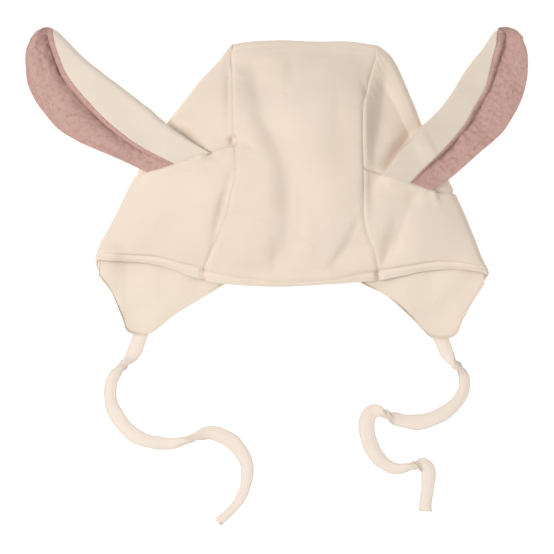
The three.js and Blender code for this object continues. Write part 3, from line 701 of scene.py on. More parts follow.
def make_crown_band(sizes, material):
    along = spans((0, 1, 56), (1, 2, 50), (2, 3, 12), (3, 4, 46), (4, 5, 40))
    points, normals, _, _ = band_grid(84, along, sizes)
    proud = {**sizes, "dip_share": 0.45}
    relief = seam_relief(points, ("left", "right"), proud, 90) + cloth_ripples(points, sizes, 5)
    relief = keep_off_floor(normals, relief)
    distance = edge_distances(points)["start"]
    relief += turned_edge(distance, BAND_GROOVE)
    points = points + normals * relief[..., None]
    cloth_piece("crown_band", points, normals, (0.0, sizes["jersey"]), material, "cream_jersey")


def rolled_edge(v, sizes):
    """Height of the lining where it rolls out past the outer cloth, over up from -1 to 0."""
    return sizes["roll_height"] * np.sqrt(np.clip(1 - ((v + 0.58) / 0.47) ** 2, 0, 1)) ** 0.8


def drooped(points, v, front, sizes):
    """The rolled edge turned down until it rests on the layer below."""
    down = sizes["roll_droop"] * smooth(-0.35, -1.0, v) * front
    return points - np.stack([0 * down, 0 * down, down], -1)


def strip_ticks(points, v, depth):
    """The dips where the lining's seams cross its rolled edge."""
    d = edge_distances(points)
    return -depth * np.where(v < 0.02, bump(d["left"], HEM_LINE_WIDTH) + bump(d["right"], HEM_LINE_WIDTH), 0)


def lining_depths(sizes):
    start = sizes["jersey"] + sizes["layer_gap"]
    return start, start + sizes["lining"]


def lining_relief(points, normals, sizes, seed):
    """The lining's seams, shallower than the outer ones and fainter still on the layer beneath."""
    relief = seam_relief(points, ("left", "right"), sizes, seed) * 0.5
    return np.where(normals[..., 2] < -0.3, relief * 0.3, relief)


def make_lining_side(side, sizes, material):
    up = spans((-1, 0, 12), (0, 1, 56), (1, 2, 28))
    points, normals, u, v = side_grid(side, side_shares(44, 96), up, sizes)
    relief = lining_relief(points, normals, sizes, 150)
    roll = np.where(u < 0, read(SIDE_HEM, "roll", np.abs(u)), read(FLAP, "roll", np.abs(u)))
    relief += np.where(v < 0, rolled_edge(v, sizes) * smooth(0.0008, 0.0024, roll), 0)
    relief += strip_ticks(points, v, sizes["tick_depth"])
    # On the flaps the lining is the face that shows, so its own soft dents are on it
    flap = np.where((u > 0) & (v < 1), 1 - v, 0)
    relief -= flap * FLAP_DENT * (0.5 + 0.5 * ripple(points[..., :2], 0.022, 33))
    points = drooped(points + normals * relief[..., None], v, smooth(0, 0.06, -u), sizes)
    cloth_piece(f"lining_side_{side}", points, normals, lining_depths(sizes), material, "pale_lining")


def make_lining_band(sizes, material):
    along = spans((-1, 0, 12), (0, 1, 24), (1, 2, 24), (2, 3, 6), (3, 4, 22), (4, 5, 20), (5, 6, 1))
    points, normals, u, v = band_grid(56, along, sizes)
    relief = lining_relief(points, normals, sizes, 180)
    roll = read(BAND_HEM, "roll", u)
    relief += np.where(v < 0, rolled_edge(v, sizes) * smooth(0.0006, 0.0022, roll), 0)
    relief += strip_ticks(points, v, sizes["tick_depth"])
    points = drooped(points + normals * relief[..., None], v, np.where(v < 0, 1.0, 0.0), sizes)
    cloth_piece("lining_band", points, normals, lining_depths(sizes), material, "pale_lining")


def ear_grid(side, across, along, sizes):
    u, v = np.meshgrid(across, along)
    hand = -1 if side == "left" else 1

    def surface(a, b):
        return ear_point(side, a, b, sizes)

    return surface(u, v), surface_normals(surface, u, v, hand, (-1, -1), (2, 1.97)), u, v


def ear_shares(lower, *upper):
    """Places across an ear, close together at its fold; upper holds its runs past the fold."""
    below = -lower * np.linspace(1, 0, 37)[:-1] ** 1.5
    above = np.linspace(0, 1, 27) ** 1.5
    return np.concatenate([below, above, *upper])


def thinning(v, sizes):
    """Share of the cloth's full thickness: less where it is pinched in the seam and at the tip."""
    return mix(0.38, 1.0, smooth(0, sizes["pinch_length"], v)) * mix(0.12, 1.0, smooth(1.6, 0.9, v))


def make_ear(side, sizes, cream, pink):
    tuck = -EAR_TUCK / sizes["length"]
    along = spans((tuck, 0, 2), (0, 0.985, 150))
    points, normals, _, v = ear_grid(side, ear_shares(0.97), along, sizes)
    share = thinning(v, sizes)
    relief = ripple(points, 0.030, 40) * EAR_RIPPLE + ripple(points, 0.013, 41) * 0.0002
    relief *= smooth(0, 0.15, v)
    upper = points + normals * relief[..., None]
    depths = (0 * share, sizes["back"] * share)
    cloth_piece(f"ear_back_{side}", upper, normals, depths, cream, "cream_jersey", measured=points)

    along = spans((tuck, 0, 2), (0, 1, 170), (1, 1.9, 12))
    points, normals, u, v = ear_grid(side, ear_shares(1.0, np.linspace(1, 2, 9)[1:]), along, sizes)
    share = thinning(v, sizes)
    relief = ripple(points, 0.030, 40) * EAR_RIPPLE * smooth(0, 0.15, v)
    lower_half, rolled = u < 0, np.clip(u - 1, 0, 1)
    inside = points * np.array([1.0, 1.0, 0.5])
    crinkle = 0.5 * ripple(inside, 0.0034, 51) + 0.35 * ripple(inside, 0.0062, 52)
    crinkle = np.tanh(crinkle + 0.5 * ripple(inside, 0.013, 53))
    fade = smooth(0.02, 0.12, v) * np.where(lower_half, smooth(1.0, 0.97, np.abs(u)), 0.35)
    # The inner layer is seen from its other side on the lower half
    relief -= sizes["crinkle"] * crinkle * fade * smooth(1.6, 1.0, v)
    strip = EAR_STRIP * np.sqrt(np.clip(1 - (2 * rolled - 1) ** 2, 0, 1))
    relief += np.where(u > 1, strip, 0) * smooth(0.02, 0.1, v) * smooth(1.15, 1.0, v)
    level = smooth(0.92, 1.2, v)[..., None]
    upright = np.where(lower_half[..., None], -1.0, 1.0) * np.array([0.0, 0.0, 1.0])
    normals = unit(mix(normals, upright, level))
    lower = points + normals * relief[..., None]
    start = (sizes["back"] + sizes["layer_gap"]) * share * mix(0.3, 1.0, smooth(1.9, 0.99, v))
    depths = (start, start + sizes["front"] * share)
    cloth_piece(f"ear_front_{side}", lower, normals, depths, pink, "pink_muslin", measured=points)


# ---------------------------------------------------------------- ties

def even_route(corners, step):
    """Points at even steps along a smooth curve through a route's points."""
    ends = [2 * corners[0] - corners[1], *corners, 2 * corners[-1] - corners[-2]]
    dense = []
    for i in range(1, len(ends) - 2):
        p0, p1, p2, p3 = ends[i - 1:i + 3]
        for t in np.linspace(0, 1, 24, endpoint=False):
            dense.append(0.5 * (2 * p1 + (p2 - p0) * t + (2 * p0 - 5 * p1 + 4 * p2 - p3) * t ** 2
                                + (3 * p1 - p0 - 3 * p2 + p3) * t ** 3))
    dense.append(ends[-2])
    dense = np.array(dense)
    for _ in range(160):
        dense[1:-1] = (dense[:-2] + 2 * dense[1:-1] + dense[2:]) / 4
    length = np.concatenate([[0], np.cumsum(np.linalg.norm(np.diff(dense, axis=0), axis=1))])
    count = int(round(length[-1] / step))
    places = np.linspace(0, length[-1], count + 1)
    return np.stack([np.interp(places, length, dense[:, k]) for k in range(dense.shape[1])], -1)


def make_tie(side, material):
    s = bpy.context.scene.hat_ties
    corners = np.array(TIE_ROUTES[side])
    inward = unit(corners[0] - corners[2])
    route = even_route(np.concatenate([[corners[0] + inward * s.sewn_in], corners]), s.ring_step)
    rows = TIE_TURNS[side]
    share = np.linspace(0, 1, len(route))
    turn = np.radians(read(rows, "turn", share))
    on_edge = np.sin(turn) ** 2
    opening = smooth(0, 0.035, share)
    wobble = 1 + 0.03 * ripple(share[:, None] * s.length, 0.012, 61)
    # Where it turns over, the tie crumples narrower and rounder than it is when flat
    width = read(rows, "width", share) / 2 * (1 - 0.25 * on_edge) * wobble
    thick = s.thickness / 2 * (1 + 0.95 * on_edge) * mix(0.75, 1.0, opening)
    lift = np.sqrt((width * np.sin(turn)) ** 2 + (thick * np.cos(turn)) ** 2)
    centre = np.column_stack([route, lift + mix(0.0004, 0.0001, opening)])
    tangent = unit(np.gradient(centre, axis=0) * np.array([1, 1, 0]))
    level = np.cross(np.array([0.0, 0.0, 1.0]), tangent)
    up = np.broadcast_to(np.array([0.0, 0.0, 1.0]), level.shape)
    wide = level * np.cos(turn)[:, None] + up * np.sin(turn)[:, None]
    flat = up * np.cos(turn)[:, None] - level * np.sin(turn)[:, None]
    angle = np.arange(TIE_SIDES) * 2 * math.pi / TIE_SIDES
    # A turned tube pressed flat: rounded edges, nearly flat faces and a faint groove at its seam
    c, n = np.cos(angle), np.sin(angle)
    across = np.sign(c) * np.abs(c) ** 0.85
    raised = np.sign(n) * np.abs(n) ** 0.88 * (1 - 0.4 * np.exp(-((np.abs(c) - 0.62) / 0.10) ** 2))
    # Creases run along the tie, deeper where it turns over
    along = run(centre[:, None], 0)
    sheet = np.stack(np.broadcast_arrays(across[None] * 0.004 + (n[None] > 0) * 0.05, along * 0.16), -1)
    crease = ripple(sheet, 0.0022, 71) * (0.00007 + 0.00030 * on_edge[:, None]) * (np.abs(n) > 0.3)
    crease -= 0.0007 * on_edge[:, None] * bump(c[None] + 0.15, 0.16)
    flare = 1 + 0.10 * smooth(0.985, 1.0, share)
    rings = (centre[:, None]
             + wide[:, None] * (width[:, None] * flare[:, None] * across)[..., None]
             + flat[:, None] * ((thick * flare)[:, None] * raised + crease)[..., None])
    rings[..., 2] = np.maximum(rings[..., 2], 0.00005)
    fray = ripple(rings[-1], 0.004, 81)[:, None] * 0.0006
    rings[-1] += tangent[-1] * fray
    cap_in = centre[-1] + (rings[-1] - centre[-1]) * np.array([0.72, 0.72, 0.5])
    deep = centre[-5] + (rings[-5] - centre[-5]) * np.array([0.6, 0.6, 0.3])
    stack = np.concatenate([rings, cap_in[None], deep[None]])
    count = len(stack)
    index = np.arange(count * TIE_SIDES).reshape(count, TIE_SIDES)
    faces = np.stack([index[:-1], np.roll(index[:-1], -1, 1), np.roll(index[1:], -1, 1), index[1:]], -1)
    faces = faces.reshape(-1, 4).tolist()
    faces.append(index[0, ::-1].tolist())
    faces.append(index[-1].tolist())
    along = np.concatenate([along[:, 0], along[-1], along[-5]])
    uvs = np.stack(np.broadcast_arrays(angle[None] / (2 * math.pi) * s.width * 2, along[:, None]), -1)
    piece = new_mesh(f"tie_{side}_cloth", stack.reshape(-1, 3), faces, uvs.reshape(-1, 2))
    make_faces_point_out(piece)
    finish_piece(piece, material, "cream_jersey", f"tie_{side}")


def make_faces_point_out(piece):
    work = bmesh.new()
    work.from_mesh(piece.data)
    bmesh.ops.recalc_face_normals(work, faces=work.faces)
    work.to_mesh(piece.data)
    work.free()


# ---------------------------------------------------------------- materials

class Maths:
    """A shader socket that can be used in an expression."""

    def __init__(self, finish, socket):
        self.finish, self.socket = finish, socket

    def _with(self, operation, first, second=None):
        inputs = {0: first} if second is None else {0: first, 1: second}
        made = self.finish.node("ShaderNodeMath", {"operation": operation}, inputs)
        return Maths(self.finish, made.outputs[0])

    def __add__(self, other):
        return self._with("ADD", self, other)

    __radd__ = __add__

    def __sub__(self, other):
        return self._with("SUBTRACT", self, other)

    def __rsub__(self, other):
        return self._with("SUBTRACT", other, self)

    def __mul__(self, other):
        return self._with("MULTIPLY", self, other)

    __rmul__ = __mul__

    def __truediv__(self, other):
        return self._with("DIVIDE", self, other)

    def __pow__(self, other):
        return self._with("POWER", self, other)

    def sine(self):
        return self._with("SINE", self)

    def size(self):
        return self._with("ABSOLUTE", self)


class Finish:
    """A material whose nodes are made by one method."""

    def __init__(self, name):
        self.material = bpy.data.materials.new(name)
        self.material.use_nodes = True
        self.tree = self.material.node_tree
        self.tree.nodes.clear()

    def node(self, kind, settings=None, inputs=None):
        made = self.tree.nodes.new(kind)
        for key, value in (settings or {}).items():
            setattr(made, key, value)
        for key, value in (inputs or {}).items():
            self.feed(made.inputs[key], value)
        return made

    def feed(self, socket, value):
        if isinstance(value, Maths):
            value = value.socket
        if isinstance(value, bpy.types.NodeSocket):
            self.tree.links.new(value, socket)
        else:
            socket.default_value = value

    def maths(self, socket):
        return Maths(self, socket)

    def noise(self, vector, scale, detail=3.0, roughness=0.55):
        made = self.node("ShaderNodeTexNoise", {"noise_dimensions": "3D"}, {
            "Vector": vector, "Scale": scale, "Detail": detail, "Roughness": roughness})
        return self.maths(made.outputs["Fac"])

    def blend(self, share, first, second, mode="MIX"):
        made = self.node("ShaderNodeMix", {"data_type": "RGBA", "blend_type": mode, "clamp_factor": True}, {
            0: share, 6: first, 7: second})
        return made.outputs[2]

    def surface(self, colour, roughness, height, distance, sheen, strength=1.0):
        raised = self.node("ShaderNodeBump", None, {
            "Strength": strength, "Distance": distance, "Height": height})
        shader = self.node("ShaderNodeBsdfPrincipled", None, {
            "Base Color": colour, "Roughness": roughness, "Normal": raised.outputs["Normal"],
            "Sheen Weight": sheen, "Sheen Roughness": 0.5, "Specular IOR Level": 0.25})
        self.node("ShaderNodeOutputMaterial", None, {"Surface": shader.outputs["BSDF"]})
        return self.material


def coordinates(finish, output):
    return finish.node("ShaderNodeTexCoord").outputs[output]


def knit_height(finish, uv, pitch, course):
    """Height of a jersey's face: columns of slanting loops."""
    axes = finish.node("ShaderNodeSeparateXYZ", None, {0: uv}).outputs
    across, along = finish.maths(axes[0]), finish.maths(axes[1])
    column = (across * (2 * math.pi / pitch)).sine()
    slant = column.size() * 0.9
    loops = (along * (2 * math.pi / course) + slant * 2.2).sine()
    return column.size() * 0.6 + loops * 0.25 + 0.25


def jersey(name, colour, shade, pitch=0.0007, course=0.00052, turned=None):
    """Matt cotton jersey: a fine knit, fibre fuzz and slight unevenness of colour, with painted shade in the
    gaps between the knit's loops. Turned is the way round a turned strip, whose two rolled edges get painted
    shade."""
    finish = Finish(name)
    place, uv = coordinates(finish, "Object"), coordinates(finish, "UV")
    knit = knit_height(finish, uv, pitch, course)
    cloudy = finish.noise(place, 38.0, 4.0)
    fibre = finish.noise(place, 2600.0, 2.0, 0.6)
    slub = finish.noise(finish.node("ShaderNodeMapping", {"vector_type": "POINT"}, {
        0: uv, "Scale": (260.0, 2400.0, 1.0)}).outputs[0], 1.0, 2.0)
    # The knit's height also feeds the colour: its loops come out lighter and the gaps between them darker,
    # painted shade; the cloudy, fibre and slub terms are random tone
    tone = cloudy * 0.35 + fibre * 0.25 + slub * 0.2 + knit * 0.2
    ramp = finish.node("ShaderNodeMapRange", {"interpolation_type": "SMOOTHSTEP"}, {
        0: tone, 1: 0.30, 2: 0.70})
    tint = finish.blend(ramp.outputs[0], (*shade, 1.0), (*colour, 1.0))
    if turned:
        # Painted shade: the strip's two rolled edges are darkened in colour, standing in for the shade on
        # them
        across = finish.maths(finish.node("ShaderNodeSeparateXYZ", None, {0: uv}).outputs[0])
        rim = 1 - (across * (2 * math.pi / turned)).sine() ** 2
        tint = finish.blend(rim ** 3 * 0.85, tint, (*[c * 0.86 for c in shade], 1.0))
    height = knit * 0.7 + fibre * 0.5 + slub * 0.3
    rough = 0.86 + cloudy * 0.1
    return finish.surface(tint, rough, height, 0.00006, 0.25)


def muslin(name, colour, deep, pitch=0.00085):
    """Double muslin: an open weave that is crinkled into soft creases, with painted shade between its crease
    ridges.
    """
    finish = Finish(name)
    place, uv = coordinates(finish, "Object"), coordinates(finish, "UV")
    axes = finish.node("ShaderNodeSeparateXYZ", None, {0: uv}).outputs
    warp = (finish.maths(axes[0]) * (2 * math.pi / pitch)).sine()
    weft = (finish.maths(axes[1]) * (2 * math.pi / pitch)).sine()
    weave = warp * weft * 0.5 + 0.5
    stretched = finish.node("ShaderNodeMapping", {"vector_type": "POINT"}, {
        0: uv, "Scale": (420.0, 190.0, 1.0)}).outputs[0]
    creases = finish.noise(stretched, 1.0, 5.0, 0.62)
    crease_ridges_and_shade = 1 - (creases * 2 - 1).size()
    blotch = finish.noise(place, 430.0, 4.0, 0.7)
    fibre = finish.noise(place, 2400.0, 2.0, 0.6)
    # Painted shade: the crease ridges and the weave's raised cells come out lighter and the hollows between
    # them darker, down to the deep tone; the blotches and fibre are random tone
    tone = crease_ridges_and_shade * 0.25 + blotch * 0.45 + weave * 0.1 + fibre * 0.2
    ramp = finish.node("ShaderNodeMapRange", {"interpolation_type": "SMOOTHSTEP"}, {
        0: tone, 1: 0.36, 2: 0.66})
    tint = finish.blend(ramp.outputs[0], (*deep, 1.0), (*colour, 1.0))
    height = crease_ridges_and_shade * 1.0 + weave * 0.18 + fibre * 0.12
    return finish.surface(tint, 0.9 + blotch * 0.08, height, 0.0005, 0.2)


def thread(name, colour):
    finish = Finish(name)
    place = coordinates(finish, "Object")
    twist = finish.noise(place, 4200.0, 2.0)
    tint = finish.blend(twist, (*[c * 0.86 for c in colour], 1.0), (*colour, 1.0))
    return finish.surface(tint, 0.7 + twist * 0.1, twist, 0.00005, 0.15)


def floor_finish(name, colour, glow):
    finish = Finish(name)
    grain = finish.noise(coordinates(finish, "Object"), 12.0, 2.0)
    tint = finish.blend(grain, (*[c * 0.99 for c in colour], 1.0), (*colour, 1.0))
    made = finish.surface(tint, 0.75 + grain * 0.1, grain, 0.0001, 0.0, 0.1)
    shader = next(n for n in made.node_tree.nodes if n.type == "BSDF_PRINCIPLED")
    shader.inputs["Emission Color"].default_value = (1.0, 1.0, 1.0, 1.0)
    shader.inputs["Emission Strength"].default_value = glow
    return made


def finishes():
    s = bpy.context.scene.hat_colours
    # The way round a tie, for the painted shade on its rolled edges
    strip = bpy.context.scene.hat_ties.width * 2
    return {
        "jersey": lambda: jersey("cream jersey", s.jersey, s.jersey_shade),
        "ear": lambda: jersey("cream ear jersey", s.ear, s.ear_shade),
        "lining": lambda: jersey("pale jersey lining", s.lining, s.lining_shade),
        "ties": lambda: jersey("pale jersey ties", s.ties, s.ties_shade, turned=strip),
        "muslin": lambda: muslin("pink muslin", s.muslin, s.muslin_shade),
        "thread": lambda: thread("cream thread", s.thread),
        "floor": lambda: floor_finish("pale floor", s.floor, bpy.context.scene.hat_stage.glow),
    }


MADE = {}


def finish_named(name):
    if name not in MADE:
        MADE[name] = finishes()[name]()
    return MADE[name]


# ---------------------------------------------------------------- stitches

def stitch_tree(name, stitch_material):
    """Geometry nodes that lay small threads at even steps along a line."""
    tree = bpy.data.node_groups.new(name, "GeometryNodeTree")
    face = tree.interface
    face.new_socket("Geometry", in_out="INPUT", socket_type="NodeSocketGeometry")
    for label, default in (("Spacing", 0.0022), ("Stitch length", 0.0014), ("Thread radius", 0.00016),
                           ("Angle", 0.0)):
        socket = face.new_socket(label, in_out="INPUT", socket_type="NodeSocketFloat")
        socket.default_value = default
    seed = face.new_socket("Seed", in_out="INPUT", socket_type="NodeSocketInt")
    seed.default_value = 7
    face.new_socket("Geometry", in_out="OUTPUT", socket_type="NodeSocketGeometry")

    def node(kind, settings=None, inputs=None):
        made = tree.nodes.new(kind)
        for key, value in (settings or {}).items():
            setattr(made, key, value)
        for key, value in (inputs or {}).items():
            if isinstance(value, bpy.types.NodeSocket):
                tree.links.new(value, made.inputs[key])
            else:
                made.inputs[key].default_value = value
        return made

    given = node("NodeGroupInput").outputs
    line = node("GeometryNodeMeshToCurve", None, {0: given["Geometry"]}).outputs[0]
    even = node("GeometryNodeResampleCurve", {"mode": "LENGTH"}, {
        "Curve": line, "Length": given["Spacing"]}).outputs[0]
    tangent = node("GeometryNodeInputTangent").outputs[0]
    facing = node("FunctionNodeAlignEulerToVector", {"axis": "Z"}, {"Vector": tangent}).outputs[0]
    jitter = node("FunctionNodeRandomValue", {"data_type": "FLOAT"}, {
        2: -0.08, 3: 0.08, "Seed": given["Seed"]}).outputs[1]
    turned = node("ShaderNodeMath", {"operation": "ADD"}, {0: given["Angle"], 1: jitter}).outputs[0]
    spin = node("ShaderNodeCombineXYZ", None, {2: turned}).outputs[0]
    bead = node("GeometryNodeMeshUVSphere", None, {"Segments": 6, "Rings": 5, "Radius": 1.0}).outputs[0]
    half = node("ShaderNodeMath", {"operation": "MULTIPLY"}, {0: given["Stitch length"], 1: 0.5}).outputs[0]
    shape = node("ShaderNodeCombineXYZ", None, {
        0: given["Thread radius"], 1: given["Thread radius"], 2: half}).outputs[0]
    placed = node("GeometryNodeInstanceOnPoints", None, {
        "Points": even, "Instance": bead, "Rotation": facing, "Scale": shape}).outputs[0]
    angled = node("GeometryNodeRotateInstances", None, {
        "Instances": placed, "Rotation": spin, "Local Space": False}).outputs[0]
    real = node("GeometryNodeRealizeInstances", None, {0: angled}).outputs[0]
    painted = node("GeometryNodeSetMaterial", None, {0: real, "Material": stitch_material}).outputs[0]
    node("NodeGroupOutput", None, {0: painted})
    return tree


def lay_stitches(name, lines, tree, **values):
    """Bakes the stitches along polylines into one plain mesh."""
    vertices = [tuple(p) for line in lines for p in line]
    edges, start = [], 0
    for line in lines:
        edges += [(start + i, start + i + 1) for i in range(len(line) - 1)]
        start += len(line)
    mesh = bpy.data.meshes.new(f"{name}_line")
    mesh.from_pydata(vertices, edges, [])
    guide = bpy.data.objects.new(f"{name}_line", mesh)
    bpy.context.scene.collection.objects.link(guide)
    modifier = guide.modifiers.new("Stitches", "NODES")
    modifier.node_group = tree
    labels = {item.name: item.identifier for item in tree.interface.items_tree
              if item.in_out == "INPUT" and item.socket_type != "NodeSocketGeometry"}
    for label, value in values.items():
        modifier[labels[label.replace("_", " ").capitalize()]] = value
    bpy.context.view_layer.update()
    evaluated = guide.evaluated_get(bpy.context.evaluated_depsgraph_get())
    baked = bpy.data.meshes.new_from_object(evaluated)
    bpy.data.objects.remove(guide)
    baked.name = name
    baked.shade_smooth()
    piece = bpy.data.objects.new(name, baked)
    bpy.context.scene.collection.objects.link(piece)
    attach(piece, "root")
    return piece


def seam_lines(sizes):
    """Lines down the front seams, sunk in their grooves."""
    sink = np.array([0.0, 0.0, -0.0007])
    along = spans((0.02, 1, 80), (1, 1.97, 80))
    fold = sizes["fold_radius"]
    return [band_point(np.full_like(along, edge), along, fold) + sink for edge in (0.0, 1.0)]


def tack_lines(side):
    """Two short rows of stitches across the flap tip, where the tie is sewn in."""
    start = Vector((*TIE_ROUTES[side][0], 0.0))
    ahead = Vector((*TIE_ROUTES[side][2], 0.0)) - start
    back = -ahead.normalized()
    level = back.cross(Vector((0, 0, 1)))
    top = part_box(f"lining_side_{side}")[0][2] + bpy.context.scene.hat_shell.lining + 0.00005
    rows = []
    for distance in (0.0028, 0.0046):
        middle = start + back * distance + Vector((0, 0, top))
        rows.append([middle + level * t for t in np.linspace(-0.0028, 0.0028, 9)])
    return rows


# ---------------------------------------------------------------- settings

def size(name, description, default, low=0.0, high=0.2):
    return bpy.props.FloatProperty(
        name=name, description=description, default=default, min=low, max=high,
        subtype="DISTANCE", unit="LENGTH", precision=5)


def share_of(name, description, default):
    return bpy.props.FloatProperty(
        name=name, description=description, default=default, min=0.0, max=1.0, subtype="FACTOR")


def colour(name, description, default):
    return bpy.props.FloatVectorProperty(
        name=name, description=description, default=default, size=3, min=0.0, max=1.0,
        subtype="COLOR")


class HatShellSettings(bpy.types.PropertyGroup):
    jersey: size("Jersey", "Thickness of the outer cloth", 0.0012)
    lining: size("Lining", "Thickness of the lining", 0.0010)
    layer_gap: size("Layer gap", "Clearance between the outer cloth and the lining", 0.0002)
    fold_radius: size("Fold radius", "Radius where the front folds round to the back", 0.0036)
    seam_dip: size("Seam dip", "How far the cloth dips at a seam", 0.0013)
    seam_width: size("Seam width", "Half the width of the dip at a seam", 0.0008)
    seam_ridge: size("Seam ridge", "Height of the soft ridge beside a seam", 0.00008)
    pucker_pitch: size("Pucker pitch", "Distance between the puckers along a seam", 0.0062)
    pucker_depth: size("Pucker depth", "Depth of the puckers beside a seam", 0.00016)
    pucker_reach: size("Pucker reach", "How far the puckers run from a seam", 0.0055)
    slow_ripple: size("Slow ripple", "Height of the cloth's broad unevenness", 0.0005)
    quick_ripple: size("Quick ripple", "Height of the cloth's small unevenness", 0.00010)
    roll_height: size("Roll height", "How far the rolled edge of the lining stands up", 0.0005)
    roll_droop: size("Roll droop", "How far the rolled edge turns down to the layer below", 0.0011)
    tick_depth: size("Tick depth", "Depth of the dips where the lining's seams cross its edge", 0.0026)
    ear_lift: size("Ear lift", "How far the panel's edge lifts over an ear's base", 0.0030)


class HatEarSettings(bpy.types.PropertyGroup):
    back: size("Back", "Thickness of an ear's jersey back", 0.0012)
    front: size("Front", "Thickness of an ear's muslin front", 0.0010)
    layer_gap: size("Layer gap", "Clearance between the two layers", 0.0002)
    fold_radius: size("Fold radius", "Radius of an ear's lengthwise fold", 0.0031)
    base_radius: size("Base radius", "Radius of the fold where it is pinched into the seam", 0.0010)
    length: size("Length", "Length of an ear's cut cloth, which its tuck is a share of", 0.125)
    swell_left: size("Swell, left ear", "Height of the swell of the left ear's lower half", 0.0046)
    swell_right: size("Swell, right ear", "Height of the swell of the right ear's lower half", 0.0010)
    swell_width: size("Swell width", "How far past the lip the lower half reaches its full swell", 0.0070)
    tip_rounding: size("Tip rounding", "How far the rounded tip stands past the last station", 0.0040)
    lip_lift: size("Lip lift", "How far the upper half stands off the lower at its lip", 0.0002)
    edge_curl: size("Edge curl", "How far the lower half's free edge curls up", 0.0030)
    pinch_length: share_of("Pinch length", "Share of an ear's length that the pinch takes", 0.16)
    crinkle: size("Crinkle", "Depth of the muslin's creases", 0.00062)


class HatTieSettings(bpy.types.PropertyGroup):
    width: size("Width", "Width of a tie when flat", 0.0072)
    sewn_in: size("Sewn in", "Length of a tie that is hidden in the flap", 0.0025)
    thickness: size("Thickness", "Thickness of a tie when flat", 0.0022)
    length: size("Length", "Length of a tie from flap tip to end", 0.175, high=0.5)
    ring_step: size("Ring step", "Distance between the rings of a tie's mesh", 0.0008)


class HatColourSettings(bpy.types.PropertyGroup):
    jersey: colour("Jersey", "Colour of the outer cloth", (0.845, 0.718, 0.603))
    jersey_shade: colour("Jersey shade", "Darker tone of the outer cloth", (0.78, 0.65, 0.52))
    lining: colour("Lining", "Colour of the lining", (0.855, 0.738, 0.622))
    lining_shade: colour("Lining shade", "Darker tone of the lining", (0.81, 0.685, 0.55))
    ties: colour("Ties", "Colour of the ties", (0.87, 0.765, 0.685))
    ties_shade: colour("Ties shade", "Darker tone of the ties", (0.84, 0.72, 0.59))
    ear: colour("Ear", "Colour of the ears' backs", (0.80, 0.695, 0.585))
    ear_shade: colour("Ear shade", "Darker tone of the ears' backs", (0.73, 0.625, 0.51))
    muslin: colour("Muslin", "Colour of the ears' fronts", (0.61, 0.385, 0.335))
    muslin_shade: colour("Muslin shade", "Darker tone of the ears' fronts", (0.39, 0.20, 0.165))
    thread: colour("Thread", "Colour of the stitches", (0.88, 0.78, 0.66))
    floor: colour("Floor", "Colour of the floor", (0.50, 0.50, 0.50))


class HatStageSettings(bpy.types.PropertyGroup):
    view_width: size("View width", "Width of the floor that the camera sees", 0.3047, high=2.0)
    camera_height: size("Camera height", "Height of the camera over the floor", 1.6, high=5.0)
    view_y: bpy.props.FloatProperty(
        name="View Y", description="Where along Y the camera looks", default=-0.0520,
        subtype="DISTANCE", unit="LENGTH")
    sky: bpy.props.FloatProperty(
        name="Sky", description="Strength of the even light from overhead", default=0.72, min=0.0)
    horizon: share_of("Horizon", "Share of the sky's light that comes from its rim", 0.25)
    glow: bpy.props.FloatProperty(
        name="Glow", description="Strength of the floor's own light", default=0.70, min=0.0)
    key: bpy.props.FloatProperty(
        name="Key", description="Power of the soft light from the left", default=10.5, min=0.0,
        unit="POWER")
    fill: bpy.props.FloatProperty(
        name="Fill", description="Power of the soft light from the lower right", default=3.0, min=0.0,
        unit="POWER")


# ---------------------------------------------------------------- operators

class HAT_OT_camera(bpy.types.Operator):
    """Place the camera straight above the hat"""
    bl_idname = "hat.camera"
    bl_label = "Camera"

    def execute(self, context):
        s = context.scene.hat_stage
        data = bpy.data.cameras.new("camera")
        data.sensor_width = 36.0
        data.lens = data.sensor_width * s.camera_height / s.view_width
        data.clip_end = 20.0
        camera = bpy.data.objects.new("camera", data)
        camera.location = (0.0, s.view_y, s.camera_height)
        context.scene.collection.objects.link(camera)
        context.scene.camera = camera
        return {"FINISHED"}


class HAT_OT_ties(bpy.types.Operator):
    """Lay both ties along their routes"""
    bl_idname = "hat.ties"
    bl_label = "Ties"

    def execute(self, context):
        for side in ("left", "right"):
            make_tie(side, finish_named("ties"))
        return {"FINISHED"}


class HAT_OT_crown_band(bpy.types.Operator):
    """Make the centre panel from forehead to nape"""
    bl_idname = "hat.crown_band"
    bl_label = "Crown band"

    def execute(self, context):
        make_crown_band(settings_of("hat_shell"), finish_named("jersey"))
        return {"FINISHED"}


class HAT_OT_side_panels(bpy.types.Operator):
    """Make the side panels above and below the ear seams"""
    bl_idname = "hat.side_panels"
    bl_label = "Side panels"

    def execute(self, context):
        sizes = settings_of("hat_shell")
        for n, side in enumerate(("left", "right")):
            make_side_panel(f"side_lower_{side}", side, spans((0, 1, 58)), ("left", "right", "end"),
                            sizes, 200 + 10 * n, finish_named("jersey"))
            make_side_panel(f"side_top_{side}", side, spans((1, 2, 58)), ("left", "right", "start"),
                            sizes, 300 + 10 * n, finish_named("jersey"))
        return {"FINISHED"}


class HAT_OT_lining(bpy.types.Operator):
    """Make the lining, which shows on the flaps and rolls out at the front edge"""
    bl_idname = "hat.lining"
    bl_label = "Lining"

    def execute(self, context):
        sizes = settings_of("hat_shell")
        make_lining_band(sizes, finish_named("lining"))
        for side in ("left", "right"):
            make_lining_side(side, sizes, finish_named("lining"))
        return {"FINISHED"}


class HAT_OT_ears(bpy.types.Operator):
    """Make the folded ears, jersey behind and muslin in front"""
    bl_idname = "hat.ears"
    bl_label = "Ears"

    def execute(self, context):
        for side in ("left", "right"):
            make_ear(side, settings_of("hat_ears"), finish_named("ear"), finish_named("muslin"))
        return {"FINISHED"}


